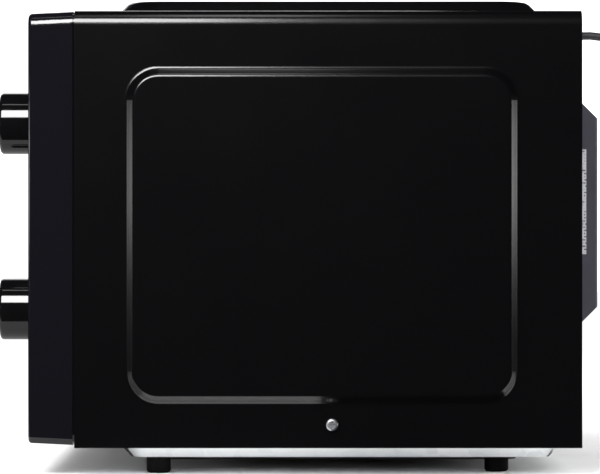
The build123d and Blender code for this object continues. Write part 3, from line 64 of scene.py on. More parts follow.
def placeCamera(s):
    sideX = cornersOf("cabinet")[1][0] - s["panelDepth"]  # flat of the side, behind its pressed panel
    data = bpy.data.cameras.new("camera")
    data.sensor_width = s["sensor"]
    data.lens = s["sensor"] * s["distance"] / s["across"]
    data.clip_end = 20
    camera = bpy.data.objects.new("camera", data)
    camera.location = (sideX + s["distance"], s["along"], s["height"])
    camera.rotation_euler = (math.radians(90), 0, math.radians(90))
    bpy.context.scene.collection.objects.link(camera)
    bpy.context.scene.camera = camera


placeCamera(cameraSettings)

leadSettings = {
    "diameter": 0.0046,
    "route": [(0.140, 0.1476, 0.250), (0.140, 0.2046, 0.254), (0.142, 0.2105, 0.188), (0.139, 0.2065, 0.126),
              (0.142, 0.210, 0.064), (0.139, 0.2085, 0.0025), (0.0818, 0.2070, 0.0026)],
    "coilCentre": (0.060, 0.236),
    "turns": 3.5,
    "pointsPerTurn": 16,
    "outerRadius": 0.0300,
    "innerRadius": 0.0251,
    "floorZ": 0.0026,
    "layerRise": 0.0047,
    "stepIn": (0.68, 0.98),
    "stepUp": (1.52, 1.84),
    "stepOut": (2.68, 2.98),
    "tailStep": (11 * mm, -0.6 * mm, 1.0 * mm),
    "plugInset": 1.5 * mm,
    "plugAlong": 0.0275,
    "plugHeight": 0.0095,
}


# smooth step from 0 to 1 between two values
def ease(t, start, end):
    u = np.clip((t - start) / (end - start), 0, 1)
    return u * u * (3 - 2 * u)


# coil points: angle falls steadily from straight towards the oven, radius steps inwards after most of the
# first turn and back out after the third, height steps up one layer during the second
def coilPoints(s):
    t = np.linspace(0, s["turns"], int(s["turns"] * s["pointsPerTurn"]) + 1)
    angle = -np.pi / 2 - 2 * np.pi * t
    step = ease(t, *s["stepIn"]) - ease(t, *s["stepOut"])
    radius = s["outerRadius"] + (s["innerRadius"] - s["outerRadius"]) * step
    height = s["floorZ"] + s["layerRise"] * ease(t, *s["stepUp"])
    x = s["coilCentre"][0] + radius * np.cos(angle)
    y = s["coilCentre"][1] + radius * np.sin(angle)
    return [tuple(p) for p in np.stack([x, y, height], axis=1)]


def makeLead(s):
    plugEnd = (cornersOf("plug")[0][0] + s["plugInset"], s["coilCentre"][1] + s["plugAlong"], s["plugHeight"])
    coil = coilPoints(s)
    tail = tuple(value + step for value, step in zip(coil[-1], s["tailStep"]))
    points = s["route"] + coil + [tail, plugEnd]
    curve = bpy.data.curves.new("mainsLead", "CURVE")
    curve.dimensions = "3D"
    curve.bevel_depth = 1.0  # each point's radius gives the real thickness
    curve.bevel_resolution = 5
    curve.use_fill_caps = True
    spline = curve.splines.new("NURBS")
    spline.points.add(len(points) - 1)
    flat = np.ones((len(points), 4))
    flat[:, :3] = points
    spline.points.foreach_set("co", flat.ravel())
    spline.points.foreach_set("radius", np.full(len(points), s["diameter"] / 2))
    spline.order_u = 3
    spline.use_endpoint_u = True
    spline.resolution_u = 6
    lead = bpy.data.objects.new("mainsLead", curve)
    bpy.context.scene.collection.objects.link(lead)
    return lead


# real length of a curve object, as the sum of its straight pieces with no thickness
def curveLength(obj):
    bare = obj.copy()
    bare.data = obj.data.copy()
    bare.data.bevel_depth = 0
    mesh = bpy.data.meshes.new_from_object(bare)
    co = np.zeros(len(mesh.vertices) * 3)
    mesh.vertices.foreach_get("co", co)
    co = co.reshape(-1, 3)
    bpy.data.meshes.remove(mesh)
    bpy.data.objects.remove(bare)
    return float(np.linalg.norm(np.diff(co, axis=0), axis=1).sum())


lead = makeLead(leadSettings)
leadLength = curveLength(lead)
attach(lead, "casing")
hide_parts("power_cord", "cord_coil")
print("stage: camera and lead, lead length", round(leadLength, 3))

# stage, world and lights

# floor sheets: low and high corner, level in millimetres, share of their light that glossy surfaces see; a
# share under one paints shade into their reflections, darkest for the sheet under the oven, dimmer in front;
# the wide one is hidden from them, as the dark end of a studio is
stageSettings = {"floor": ((-6.0, -6.0), (6.0, 6.0), -0.4, 0.0),
                 "behindFloor": ((-0.55, 0.150), (0.265, 0.60), -0.2, 1.0),
                 # under the oven glossy surfaces see this sheet at 0.12: painted shadow in their reflections
                 "deepFloor": ((-0.55, -0.128), (0.185, 0.150), -0.2, 0.12),
                 "edgeFloor": ((0.185, -0.128), (0.215, 0.150), -0.2, 1.0),
                 "sideFloor": ((0.215, -0.128), (0.265, 0.008), -0.2, 1.0),
                 "frontFloor": ((-0.55, -0.60), (0.265, -0.128), -0.2, 0.42)}
floorColour = "#fbfbfb"


# sRGB hex text to linear: a channel over 12.92 when it is small, else raised to the power 2.4
def linear(hexText):
    channel = np.array([int(hexText[k:k + 2], 16) for k in (1, 3, 5)]) / 255
    value = np.where(channel <= 0.04045, channel / 12.92, ((channel + 0.055) / 1.055) ** 2.4)
    return tuple(float(v) for v in value) + (1.0,)


# adds a shader node; fields are its own settings, sockets take a number, a colour or (node, output name)
def addNode(tree, kind, fields=None, sockets=None):
    node = tree.nodes.new(kind)
    for name, value in (fields or {}).items():
        setattr(node, name, value)
    for name, value in (sockets or {}).items():
        if isinstance(value, tuple) and isinstance(value[0], bpy.types.Node):
            tree.links.new(value[0].outputs[value[1]], node.inputs[name])
        else:
            node.inputs[name].default_value = value
    return node


# a new material with nothing but its output
def blankMaterial(name):
    material = bpy.data.materials.new(name)
    material.use_nodes = True
    material.node_tree.nodes.clear()
    return material, material.node_tree


def joinOutput(tree, shader):
    output = tree.nodes.new("ShaderNodeOutputMaterial")
    tree.links.new(shader.outputs[0], output.inputs["Surface"])


# pale matt paper, dimmed by a factor for glossy rays only: painted shade in what glossy surfaces mirror
def paperSweep(name, inGloss):
    material, tree = blankMaterial("paper." + name)
    path = addNode(tree, "ShaderNodeLightPath")
    pale, dim = linear(floorColour), tuple(inGloss * v for v in linear(floorColour)[:3]) + (1.0,)
    colour = addNode(tree, "ShaderNodeMix", {"data_type": "RGBA"},
                     {0: (path, "Is Glossy Ray"), 6: pale, 7: dim})
    shader = addNode(tree, "ShaderNodeBsdfDiffuse", sockets={"Color": (colour, 2)})
    joinOutput(tree, shader)
    return material


# a flat four-cornered sheet, normal upwards
def makeFloor(name, low, high, level, inGloss):
    mesh = bpy.data.meshes.new(name)
    corners = [(low[0], low[1], 0), (high[0], low[1], 0), (high[0], high[1], 0), (low[0], high[1], 0)]
    mesh.from_pydata(corners, [], [(0, 1, 2, 3)])
    floor = bpy.data.objects.new(name, mesh)
    floor.location.z = level * mm
    floor.visible_glossy = inGloss > 0
    bpy.context.scene.collection.objects.link(floor)
    mesh.materials.append(paperSweep(name, inGloss))


# the camera sees white paper, matt surfaces are lit by a pale dome, and glossy ones see a dim room
worldSettings = {"seen": 1.6, "dome": 1.15, "room": 0.014}


def makeWorld(s):
    world = bpy.data.worlds.new("studio")
    bpy.context.scene.world = world
    world.use_nodes = True
    tree = world.node_tree
    tree.nodes.clear()
    path = addNode(tree, "ShaderNodeLightPath")
    diffuse = addNode(tree, "ShaderNodeMix", {"data_type": "FLOAT"},
                      {0: (path, "Is Diffuse Ray"), 2: s["room"], 3: s["dome"]})
    seen = addNode(tree, "ShaderNodeMix", {"data_type": "FLOAT"},
                   {0: (path, "Is Camera Ray"), 2: (diffuse, "Result"), 3: s["seen"]})
    background = addNode(tree, "ShaderNodeBackground",
                         sockets={"Color": (1, 1, 1, 1), "Strength": (seen, "Result")})
    output = tree.nodes.new("ShaderNodeOutputWorld")
    tree.links.new(background.outputs[0], output.inputs["Surface"])


# softboxes: centre, point they face, width, height, radiance and whether glossy surfaces mirror them; the two
# low strips stay under the level of the top so that it doesn't mirror them
lightSettings = {
    "highSide": ((1.30, -0.47, 0.99), (0.20, -0.47, 0.20), 0.78, 0.66, 22.0, True),
    "overhead": ((0.50, -0.062, 1.45), (0.50, -0.062, 0.0), 0.46, 0.14, 3.4, True),
    "thinStrip": ((0.457, -0.25, 1.18), (0.165, -0.165, 0.20), 0.30, 0.06, 2.6, True),
    "frontStrip": ((0.30, -1.50, 0.195), (0.10, 0.0, 0.195), 0.90, 0.13, 3.2, True),
    "rearStrip": ((0.30, 1.50, 0.195), (0.10, 0.0, 0.195), 0.90, 0.13, 4.8, True),
    "frontFill": ((0.30, -1.50, 0.46), (0.10, 0.0, 0.20), 0.90, 0.62, 2.4, False),
    "rearFill": ((0.30, 1.50, 0.46), (0.10, 0.0, 0.20), 0.90, 0.62, 4.6, False),
    "farSide": ((-1.60, -0.30, 0.90), (0.0, 0.0, 0.15), 0.90, 0.80, 1.6, True),
}


def makeSoftbox(name, centre, target, width, height, radiance, inGloss):
    data = bpy.data.lights.new(name, "AREA")
    data.shape = "RECTANGLE"
    data.size = width
    data.size_y = height
    data.energy = radiance * math.pi * width * height
    light = bpy.data.objects.new(name, data)
    light.location = centre
    light.visible_glossy = inGloss
    aim = Vector(target) - Vector(centre)
    light.rotation_euler = aim.to_track_quat("-Z", "Y").to_euler()
    bpy.context.scene.collection.objects.link(light)


for name, values in stageSettings.items():
    makeFloor(name, *values)
makeWorld(worldSettings)
for name, values in lightSettings.items():
    makeSoftbox(name, *values)
bpy.context.scene.view_settings.view_transform = "Standard"
print("stage: floor, world and", len(lightSettings), "softboxes")

# finishes, one function for each


# a new finish, and the place on the object in metres that its patterns start from
def startFinish(name):
    material, tree = blankMaterial(name)
    return material, tree, (addNode(tree, "ShaderNodeTexCoord"), "Object")


def endFinish(material, sockets):
    tree = material.node_tree
    joinOutput(tree, addNode(tree, "ShaderNodeBsdfPrincipled", sockets=sockets))
    return material


# powder-coated steel: satin, with the fine orange peel of baked powder, about 1.2 mm from crest to crest
def powderCoatedSteel():
    material, tree, place = startFinish("powderCoatedSteel")
    peel = addNode(tree, "ShaderNodeTexNoise", sockets={"Vector": place, "Scale": 1 / (1.2 * mm),
                                                        "Detail": 3.0, "Roughness": 0.6})
    speck = addNode(tree, "ShaderNodeTexNoise", sockets={"Vector": place, "Scale": 1 / (0.7 * mm),
                                                         "Detail": 1.0})
    wave = addNode(tree, "ShaderNodeTexNoise", sockets={"Vector": place, "Scale": 1 / (55 * mm)})
    colour = addNode(tree, "ShaderNodeMix", {"data_type": "RGBA"},
                     {0: (speck, "Fac"), 6: linear("#020203"), 7: linear("#050506")})
    rough = addNode(tree, "ShaderNodeMapRange", sockets={"Value": (wave, "Fac"), "To Min": 0.15,
                                                         "To Max": 0.20})
    bump = addNode(tree, "ShaderNodeBump", sockets={"Height": (peel, "Fac"), "Strength": 0.35,
                                                    "Distance": 0.03 * mm})
    return endFinish(material, {"Base Color": (colour, 2), "Roughness": (rough, "Result"),
                                "Normal": (bump, "Normal"), "IOR": 1.5})


# moulded ABS polished in the mould: near mirror, with faint flow waves and a trace of dust
def polishedAbs():
    material, tree, place = startFinish("polishedAbs")
    flow = addNode(tree, "ShaderNodeTexNoise", sockets={"Vector": place, "Scale": 1 / (34 * mm),
                                                        "Detail": 1.0})
    dust = addNode(tree, "ShaderNodeTexNoise", sockets={"Vector": place, "Scale": 1 / (0.8 * mm),
                                                        "Detail": 4.0})
    dustMask = addNode(tree, "ShaderNodeMapRange", sockets={"Value": (dust, "Fac"), "From Min": 0.62,
                                                            "From Max": 0.78, "To Min": 0.0, "To Max": 0.5})
    colour = addNode(tree, "ShaderNodeMix", {"data_type": "RGBA"},
                     {0: (dustMask, "Result"), 6: linear("#08080c"), 7: linear("#131318")})
    rough = addNode(tree, "ShaderNodeMapRange", sockets={"Value": (dust, "Fac"), "To Min": 0.07,
                                                         "To Max": 0.16})
    bump = addNode(tree, "ShaderNodeBump", sockets={"Height": (flow, "Fac"), "Strength": 0.12,
                                                    "Distance": 0.25 * mm})
    return endFinish(material, {"Base Color": (colour, 2), "Roughness": (rough, "Result"),
                                "Normal": (bump, "Normal"), "IOR": 1.54})


# knob ABS: the same resin, turned smoother, with hair-fine rings from handling
def knobAbs():
    material, tree, place = startFinish("knobAbs")
    hair = addNode(tree, "ShaderNodeTexNoise", sockets={"Vector": place, "Scale": 1 / (0.35 * mm),
                                                        "Detail": 2.0})
    patch = addNode(tree, "ShaderNodeTexNoise", sockets={"Vector": place, "Scale": 1 / (9 * mm)})
    colour = addNode(tree, "ShaderNodeMix", {"data_type": "RGBA"},
                     {0: (patch, "Fac"), 6: linear("#040405"), 7: linear("#080809")})
    rough = addNode(tree, "ShaderNodeMapRange", sockets={"Value": (patch, "Fac"), "To Min": 0.05,
                                                         "To Max": 0.10})
    bump = addNode(tree, "ShaderNodeBump", sockets={"Height": (hair, "Fac"), "Strength": 0.05,
                                                    "Distance": 0.01 * mm})
    return endFinish(material, {"Base Color": (colour, 2), "Roughness": (rough, "Result"),
                                "Normal": (bump, "Normal"), "IOR": 1.54})


# hot-dip galvanised sheet: zinc crystals some 9 mm across that differ in shade and gloss
def galvanisedSheet():
    material, tree, place = startFinish("galvanisedSheet")
    warp = addNode(tree, "ShaderNodeTexNoise", sockets={"Vector": place, "Scale": 1 / (6 * mm)})
    bent = addNode(tree, "ShaderNodeVectorMath", {"operation": "MULTIPLY_ADD"},
                   {0: (warp, "Color"), 1: (3 * mm, 3 * mm, 3 * mm), 2: place})
    spangle = addNode(tree, "ShaderNodeTexVoronoi",
                      sockets={"Vector": (bent, "Vector"), "Scale": 1 / (9 * mm)})
    shade = addNode(tree, "ShaderNodeSeparateColor", sockets={"Color": (spangle, "Color")})
    colour = addNode(tree, "ShaderNodeMix", {"data_type": "RGBA"},
                     {0: (shade, "Red"), 6: linear("#e6e9eb"), 7: linear("#f4f5f6")})
    rough = addNode(tree, "ShaderNodeMapRange", sockets={"Value": (shade, "Green"), "To Min": 0.11,
                                                         "To Max": 0.19})
    grain = addNode(tree, "ShaderNodeTexNoise", sockets={"Vector": place, "Scale": 1 / (0.6 * mm)})
    bump = addNode(tree, "ShaderNodeBump", sockets={"Height": (grain, "Fac"), "Strength": 0.15,
                                                    "Distance": 0.02 * mm})
    return endFinish(material, {"Base Color": (colour, 2), "Roughness": (rough, "Result"), "Metallic": 1.0,
                                "Normal": (bump, "Normal")})


# spark-eroded polypropylene: bluish grey, dull, with a leathery pit every 0.8 mm
def erodedPolypropylene():
    material, tree, place = startFinish("erodedPolypropylene")
    pit = addNode(tree, "ShaderNodeTexVoronoi", sockets={"Vector": place, "Scale": 1 / (0.8 * mm)})
    patch = addNode(tree, "ShaderNodeTexNoise", sockets={"Vector": place, "Scale": 1 / (25 * mm),
                                                         "Detail": 4.0})
    colour = addNode(tree, "ShaderNodeMix", {"data_type": "RGBA"},
                     {0: (patch, "Fac"), 6: linear("#36353f"), 7: linear("#484652")})
    rough = addNode(tree, "ShaderNodeMapRange", sockets={"Value": (pit, "Distance"), "To Min": 0.42,
                                                         "To Max": 0.6})
    bump = addNode(tree, "ShaderNodeBump", sockets={"Height": (pit, "Distance"), "Strength": 0.3,
                                                    "Distance": 0.05 * mm})
    return endFinish(material, {"Base Color": (colour, 2), "Roughness": (rough, "Result"),
                                "Normal": (bump, "Normal"), "IOR": 1.49})


# matt black injected plastic for parts inside the door and the fan housing, fine grain 0.5 mm
def grainedPolypropylene():
    material, tree, place = startFinish("grainedPolypropylene")
    grain = addNode(tree, "ShaderNodeTexNoise", sockets={"Vector": place, "Scale": 1 / (0.5 * mm),
                                                         "Detail": 2.0})
    colour = addNode(tree, "ShaderNodeMix", {"data_type": "RGBA"},
                     {0: (grain, "Fac"), 6: linear("#121213"), 7: linear("#1e1e20")})
    rough = addNode(tree, "ShaderNodeMapRange", sockets={"Value": (grain, "Fac"), "To Min": 0.4,
                                                         "To Max": 0.55})
    bump = addNode(tree, "ShaderNodeBump", sockets={"Height": (grain, "Fac"), "Strength": 0.25,
                                                    "Distance": 0.03 * mm})
    return endFinish(material, {"Base Color": (colour, 2), "Roughness": (rough, "Result"),
                                "Normal": (bump, "Normal"), "IOR": 1.49})


# printed label film: white, semi-matt, with rows of short grey bars in place of words
def printedLabelFilm():
    material, tree, place = startFinish("printedLabelFilm")
    low = cornersOf("rating_label")[0]
    axes = addNode(tree, "ShaderNodeSeparateXYZ", sockets={"Vector": place})
    along = addNode(tree, "ShaderNodeMath", {"operation": "SUBTRACT"}, {0: (axes, "Y"), 1: low[1]})
    up = addNode(tree, "ShaderNodeMath", {"operation": "SUBTRACT"}, {0: (axes, "Z"), 1: low[2]})
    flat = addNode(tree, "ShaderNodeCombineXYZ", sockets={"X": (along, "Value"), "Y": (up, "Value")})
    rows = addNode(tree, "ShaderNodeTexBrick", {"offset": 0.37, "squash": 0.6, "squash_frequency": 3},
                   {"Vector": (flat, "Vector"), "Color1": linear("#3a3a3c"), "Color2": linear("#606063"),
                    "Mortar": linear("#bebec2"), "Scale": 1.0, "Mortar Size": 0.55 * mm, "Mortar Smooth": 0.1,
                    "Brick Width": 3.1 * mm, "Row Height": 1.9 * mm})
    fade = addNode(tree, "ShaderNodeTexNoise", sockets={"Vector": place, "Scale": 1 / (5 * mm)})
    shade = addNode(tree, "ShaderNodeMapRange", sockets={"Value": (fade, "Fac"), "From Min": 0.42,
                                                         "From Max": 0.5, "To Min": 0.15, "To Max": 0.95})
    colour = addNode(tree, "ShaderNodeMix", {"data_type": "RGBA"},
                     {0: (shade, "Result"), 6: linear("#bebec2"), 7: (rows, "Color")})
    return endFinish(material, {"Base Color": (colour, 2), "Roughness": 0.42, "IOR": 1.5})


# moulded rubber for the feet: black, dry, with a dusty bloom
def mouldedRubber():
    material, tree, place = startFinish("mouldedRubber")
    bloom = addNode(tree, "ShaderNodeTexNoise", sockets={"Vector": place, "Scale": 1 / (3 * mm),
                                                         "Detail": 5.0})
    colour = addNode(tree, "ShaderNodeMix", {"data_type": "RGBA"},
                     {0: (bloom, "Fac"), 6: linear("#030303"), 7: linear("#070708")})
    rough = addNode(tree, "ShaderNodeMapRange", sockets={"Value": (bloom, "Fac"), "To Min": 0.55,
                                                         "To Max": 0.8})
    bump = addNode(tree, "ShaderNodeBump", sockets={"Height": (bloom, "Fac"), "Strength": 0.2,
                                                    "Distance": 0.05 * mm})
    return endFinish(material, {"Base Color": (colour, 2), "Roughness": (rough, "Result"),
                                "Normal": (bump, "Normal"), "IOR": 1.52, "Specular IOR Level": 0.1})


# bright zinc plate on screws and shafts: cool silver with fine tool marks
def zincPlatedSteel():
    material, tree, place = startFinish("zincPlatedSteel")
    mark = addNode(tree, "ShaderNodeTexNoise", sockets={"Vector": place, "Scale": 1 / (0.5 * mm),
                                                        "Detail": 2.0})
    colour = addNode(tree, "ShaderNodeMix", {"data_type": "RGBA"},
                     {0: (mark, "Fac"), 6: linear("#b9bcc1"), 7: linear("#dfe1e4")})
    rough = addNode(tree, "ShaderNodeMapRange", sockets={"Value": (mark, "Fac"), "To Min": 0.33,
                                                         "To Max": 0.46})
    bump = addNode(tree, "ShaderNodeBump", sockets={"Height": (mark, "Fac"), "Strength": 0.2,
                                                    "Distance": 0.02 * mm})
    return endFinish(material, {"Base Color": (colour, 2), "Roughness": (rough, "Result"), "Metallic": 1.0,
                                "Normal": (bump, "Normal")})


# baked enamel of the cavity and front plate: pale grey, glossy, slightly wavy, with faint grease haze
def bakedEnamel():
    material, tree, place = startFinish("bakedEnamel")
    haze = addNode(tree, "ShaderNodeTexNoise", sockets={"Vector": place, "Scale": 1 / (40 * mm),
                                                        "Detail": 5.0})
    peel = addNode(tree, "ShaderNodeTexNoise", sockets={"Vector": place, "Scale": 1 / (1.6 * mm)})
    colour = addNode(tree, "ShaderNodeMix", {"data_type": "RGBA"},
                     {0: (haze, "Fac"), 6: linear("#a9aaa8"), 7: linear("#b9bab7")})
    rough = addNode(tree, "ShaderNodeMapRange", sockets={"Value": (haze, "Fac"), "To Min": 0.2,
                                                         "To Max": 0.42})
    bump = addNode(tree, "ShaderNodeBump", sockets={"Height": (peel, "Fac"), "Strength": 0.2,
                                                    "Distance": 0.03 * mm})
    return endFinish(material, {"Base Color": (colour, 2), "Roughness": (rough, "Result"),
                                "Normal": (bump, "Normal"), "IOR": 1.52})


# unfilled nylon for latch, rollers and drive: warm ivory, waxy, light passes a little way in
def mouldedNylon():
    material, tree, place = startFinish("mouldedNylon")
    cloud = addNode(tree, "ShaderNodeTexNoise", sockets={"Vector": place, "Scale": 1 / (12 * mm),
                                                         "Detail": 3.0})
    colour = addNode(tree, "ShaderNodeMix", {"data_type": "RGBA"},
                     {0: (cloud, "Fac"), 6: linear("#d6d1c2"), 7: linear("#e6e2d6")})
    rough = addNode(tree, "ShaderNodeMapRange", sockets={"Value": (cloud, "Fac"), "To Min": 0.34,
                                                         "To Max": 0.48})
    return endFinish(material, {"Base Color": (colour, 2), "Roughness": (rough, "Result"), "IOR": 1.53,
                                "Subsurface Weight": 0.08, "Subsurface Scale": 0.6 * mm})


# glass-filled switch cases: dull mid grey with streaks of filler
def filledPolyester():
    material, tree, place = startFinish("filledPolyester")
    streak = addNode(tree, "ShaderNodeTexNoise", sockets={"Vector": place, "Scale": 1 / (2 * mm),
                                                          "Detail": 6.0, "Roughness": 0.7})
    colour = addNode(tree, "ShaderNodeMix", {"data_type": "RGBA"},
                     {0: (streak, "Fac"), 6: linear("#3c3e41"), 7: linear("#54575b")})
    rough = addNode(tree, "ShaderNodeMapRange", sockets={"Value": (streak, "Fac"), "To Min": 0.45,
                                                         "To Max": 0.65})
    return endFinish(material, {"Base Color": (colour, 2), "Roughness": (rough, "Result"), "IOR": 1.55})


# drawn music wire: bright with fine lengthwise die lines
def drawnWire():
    material, tree, place = startFinish("drawnWire")
    line = addNode(tree, "ShaderNodeTexNoise", sockets={"Vector": place, "Scale": 1 / (0.3 * mm)})
    colour = addNode(tree, "ShaderNodeMix", {"data_type": "RGBA"},
                     {0: (line, "Fac"), 6: linear("#8d9094"), 7: linear("#b4b7ba")})
    rough = addNode(tree, "ShaderNodeMapRange", sockets={"Value": (line, "Fac"), "To Min": 0.22,
                                                         "To Max": 0.36})
    return endFinish(material, {"Base Color": (colour, 2), "Roughness": (rough, "Result"), "Metallic": 1.0})


# toughened glass with a ceramic print: glossy black border outside the window, smoked clear inside it
def printedDoorGlass():
    material, tree, place = startFinish("printedDoorGlass")
    low, high = cornersOf("door_screen")
    centre, half = (low + high) / 2, (high - low) / 2
    overlap = 6 * mm  # the print covers the screen's edge by this much
    axes = addNode(tree, "ShaderNodeSeparateXYZ", sockets={"Vector": place})
    fromX = addNode(tree, "ShaderNodeMath", {"operation": "SUBTRACT"}, {0: (axes, "X"), 1: centre[0]})
    fromZ = addNode(tree, "ShaderNodeMath", {"operation": "SUBTRACT"}, {0: (axes, "Z"), 1: centre[2]})
    sizeX = addNode(tree, "ShaderNodeMath", {"operation": "ABSOLUTE"}, {0: (fromX, "Value")})
    sizeZ = addNode(tree, "ShaderNodeMath", {"operation": "ABSOLUTE"}, {0: (fromZ, "Value")})
    overX = addNode(tree, "ShaderNodeMath", {"operation": "SUBTRACT"},
                    {0: (sizeX, "Value"), 1: half[0] - overlap})
    overZ = addNode(tree, "ShaderNodeMath", {"operation": "SUBTRACT"},
                    {0: (sizeZ, "Value"), 1: half[2] - overlap})
    outside = addNode(tree, "ShaderNodeMath", {"operation": "MAXIMUM"},
                      {0: (overX, "Value"), 1: (overZ, "Value")})
    border = addNode(tree, "ShaderNodeMath", {"operation": "GREATER_THAN"}, {0: (outside, "Value"), 1: 0.0})
    smear = addNode(tree, "ShaderNodeTexNoise", sockets={"Vector": place, "Scale": 1 / (60 * mm),
                                                         "Detail": 4.0})
    rough = addNode(tree, "ShaderNodeMapRange", sockets={"Value": (smear, "Fac"), "To Min": 0.02,
                                                         "To Max": 0.07})
    clear = addNode(tree, "ShaderNodeMath", {"operation": "SUBTRACT"}, {0: 1.0, 1: (border, "Value")})
    colour = addNode(tree, "ShaderNodeMix", {"data_type": "RGBA"},
                     {0: (border, "Value"), 6: linear("#8b8f90"), 7: linear("#050506")})
    return endFinish(material, {"Base Color": (colour, 2), "Roughness": (rough, "Result"), "IOR": 1.52,
                                "Transmission Weight": (clear, "Value")})


# black enamelled steel of the choke frame and screen: satin with slight mottling
def enamelledSteel():
    material, tree, place = startFinish("enamelledSteel")
    mottle = addNode(tree, "ShaderNodeTexNoise", sockets={"Vector": place, "Scale": 1 / (4 * mm),
                                                          "Detail": 3.0})
    colour = addNode(tree, "ShaderNodeMix", {"data_type": "RGBA"},
                     {0: (mottle, "Fac"), 6: linear("#0d0d0e"), 7: linear("#19191b")})
    rough = addNode(tree, "ShaderNodeMapRange", sockets={"Value": (mottle, "Fac"), "To Min": 0.3,
                                                         "To Max": 0.42})
    return endFinish(material, {"Base Color": (colour, 2), "Roughness": (rough, "Result"), "IOR": 1.5})


# clear polyester film inside the door, with handling haze
def clearFilm():
    material, tree, place = startFinish("clearPolyesterFilm")
    haze = addNode(tree, "ShaderNodeTexNoise", sockets={"Vector": place, "Scale": 1 / (30 * mm),
                                                        "Detail": 5.0})
    rough = addNode(tree, "ShaderNodeMapRange", sockets={"Value": (haze, "Fac"), "To Min": 0.02,
                                                         "To Max": 0.12})
    return endFinish(material, {"Base Color": linear("#f4f6f6"), "Roughness": (rough, "Result"), "IOR": 1.57,
                                "Transmission Weight": 1.0})


# pressed mica sheet over the waveguide: flaky brown-grey with pearly scales about 5 mm wide
def pressedMica():
    material, tree, place = startFinish("pressedMica")
    flake = addNode(tree, "ShaderNodeTexVoronoi", sockets={"Vector": place, "Scale": 1 / (5 * mm)})
    shade = addNode(tree, "ShaderNodeSeparateColor", sockets={"Color": (flake, "Color")})
    colour = addNode(tree, "ShaderNodeMix", {"data_type": "RGBA"},
                     {0: (shade, "Red"), 6: linear("#8f8672"), 7: linear("#b5ab93")})
    rough = addNode(tree, "ShaderNodeMapRange", sockets={"Value": (shade, "Green"), "To Min": 0.25,
                                                         "To Max": 0.5})
    return endFinish(material, {"Base Color": (colour, 2), "Roughness": (rough, "Result"), "IOR": 1.58})


# bare aluminium fins and plated cans: soft grey metal with rolling lines
def bareAluminium():
    material, tree, place = startFinish("bareAluminium")
    stretch = addNode(tree, "ShaderNodeMapping", sockets={"Vector": place, "Scale": (1.0, 1.0, 0.06)})
    line = addNode(tree, "ShaderNodeTexNoise", sockets={"Vector": (stretch, "Vector"),
                                                        "Scale": 1 / (0.7 * mm), "Detail": 2.0})
    colour = addNode(tree, "ShaderNodeMix", {"data_type": "RGBA"},
                     {0: (line, "Fac"), 6: linear("#b4b6b9"), 7: linear("#d3d5d7")})
    rough = addNode(tree, "ShaderNodeMapRange", sockets={"Value": (line, "Fac"), "To Min": 0.3,
                                                         "To Max": 0.45})
    return endFinish(material, {"Base Color": (colour, 2), "Roughness": (rough, "Result"), "Metallic": 1.0})


# varnished laminations with copper windings: the coils stand proud of the core along the depth
def varnishedCore(name, part, halfCore):
    material, tree, place = startFinish("varnishedCore." + name)
    centreY = sum(corner[1] for corner in cornersOf(part)) / 2
    axes = addNode(tree, "ShaderNodeSeparateXYZ", sockets={"Vector": place})
    off = addNode(tree, "ShaderNodeMath", {"operation": "SUBTRACT"}, {0: (axes, "Y"), 1: centreY})
    depth = addNode(tree, "ShaderNodeMath", {"operation": "ABSOLUTE"}, {0: (off, "Value")})
    coil = addNode(tree, "ShaderNodeMath", {"operation": "GREATER_THAN"}, {0: (depth, "Value"), 1: halfCore})
    sheets = addNode(tree, "ShaderNodeTexWave", {"bands_direction": "Y"},
                     {"Vector": place, "Scale": 1 / (9.4 * mm), "Distortion": 0.4})
    iron = addNode(tree, "ShaderNodeMix", {"data_type": "RGBA"},
                   {0: (sheets, "Fac"), 6: linear("#2b2623"), 7: linear("#4a4440")})
    colour = addNode(tree, "ShaderNodeMix", {"data_type": "RGBA"},
                     {0: (coil, "Value"), 6: (iron, 2), 7: linear("#8a4b24")})
    return endFinish(material, {"Base Color": (colour, 2), "Roughness": 0.38, "IOR": 1.5})


# phenolic board: brown laminate at the back, dark parts in front of it
def phenolicBoard():
    material, tree, place = startFinish("phenolicBoard")
    boardDepth = 8.2 * mm
    boardY = cornersOf("filter_board")[1][1] - boardDepth
    axes = addNode(tree, "ShaderNodeSeparateXYZ", sockets={"Vector": place})
    isBoard = addNode(tree, "ShaderNodeMath", {"operation": "GREATER_THAN"}, {0: (axes, "Y"), 1: boardY})
    weave = addNode(tree, "ShaderNodeTexNoise", sockets={"Vector": place, "Scale": 1 / (1.5 * mm)})
    laminate = addNode(tree, "ShaderNodeMix", {"data_type": "RGBA"},
                       {0: (weave, "Fac"), 6: linear("#8a6a35"), 7: linear("#a07f45")})
    colour = addNode(tree, "ShaderNodeMix", {"data_type": "RGBA"},
                     {0: (isBoard, "Value"), 6: linear("#2c4f63"), 7: (laminate, 2)})
    return endFinish(material, {"Base Color": (colour, 2), "Roughness": 0.45, "IOR": 1.55})


# oxidised heater sheath: blue-grey to straw temper colours along the tube
def temperedSheath():
    material, tree, place = startFinish("temperedSheath")
    band = addNode(tree, "ShaderNodeTexNoise", sockets={"Vector": place, "Scale": 1 / (35 * mm)})
    colour = addNode(tree, "ShaderNodeMix", {"data_type": "RGBA"},
                     {0: (band, "Fac"), 6: linear("#3a3f4a"), 7: linear("#6e6149")})
    return endFinish(material, {"Base Color": (colour, 2), "Roughness": 0.42, "Metallic": 1.0})


# lamp glass: clear, thin, slightly dirty near the cap
def lampGlass():
    material, tree, place = startFinish("lampGlass")
    haze = addNode(tree, "ShaderNodeTexNoise", sockets={"Vector": place, "Scale": 1 / (8 * mm)})
    rough = addNode(tree, "ShaderNodeMapRange", sockets={"Value": (haze, "Fac"), "To Min": 0.02,
                                                         "To Max": 0.1})
    return endFinish(material, {"Base Color": linear("#f3efe4"), "Roughness": (rough, "Result"), "IOR": 1.47,
                                "Transmission Weight": 1.0})


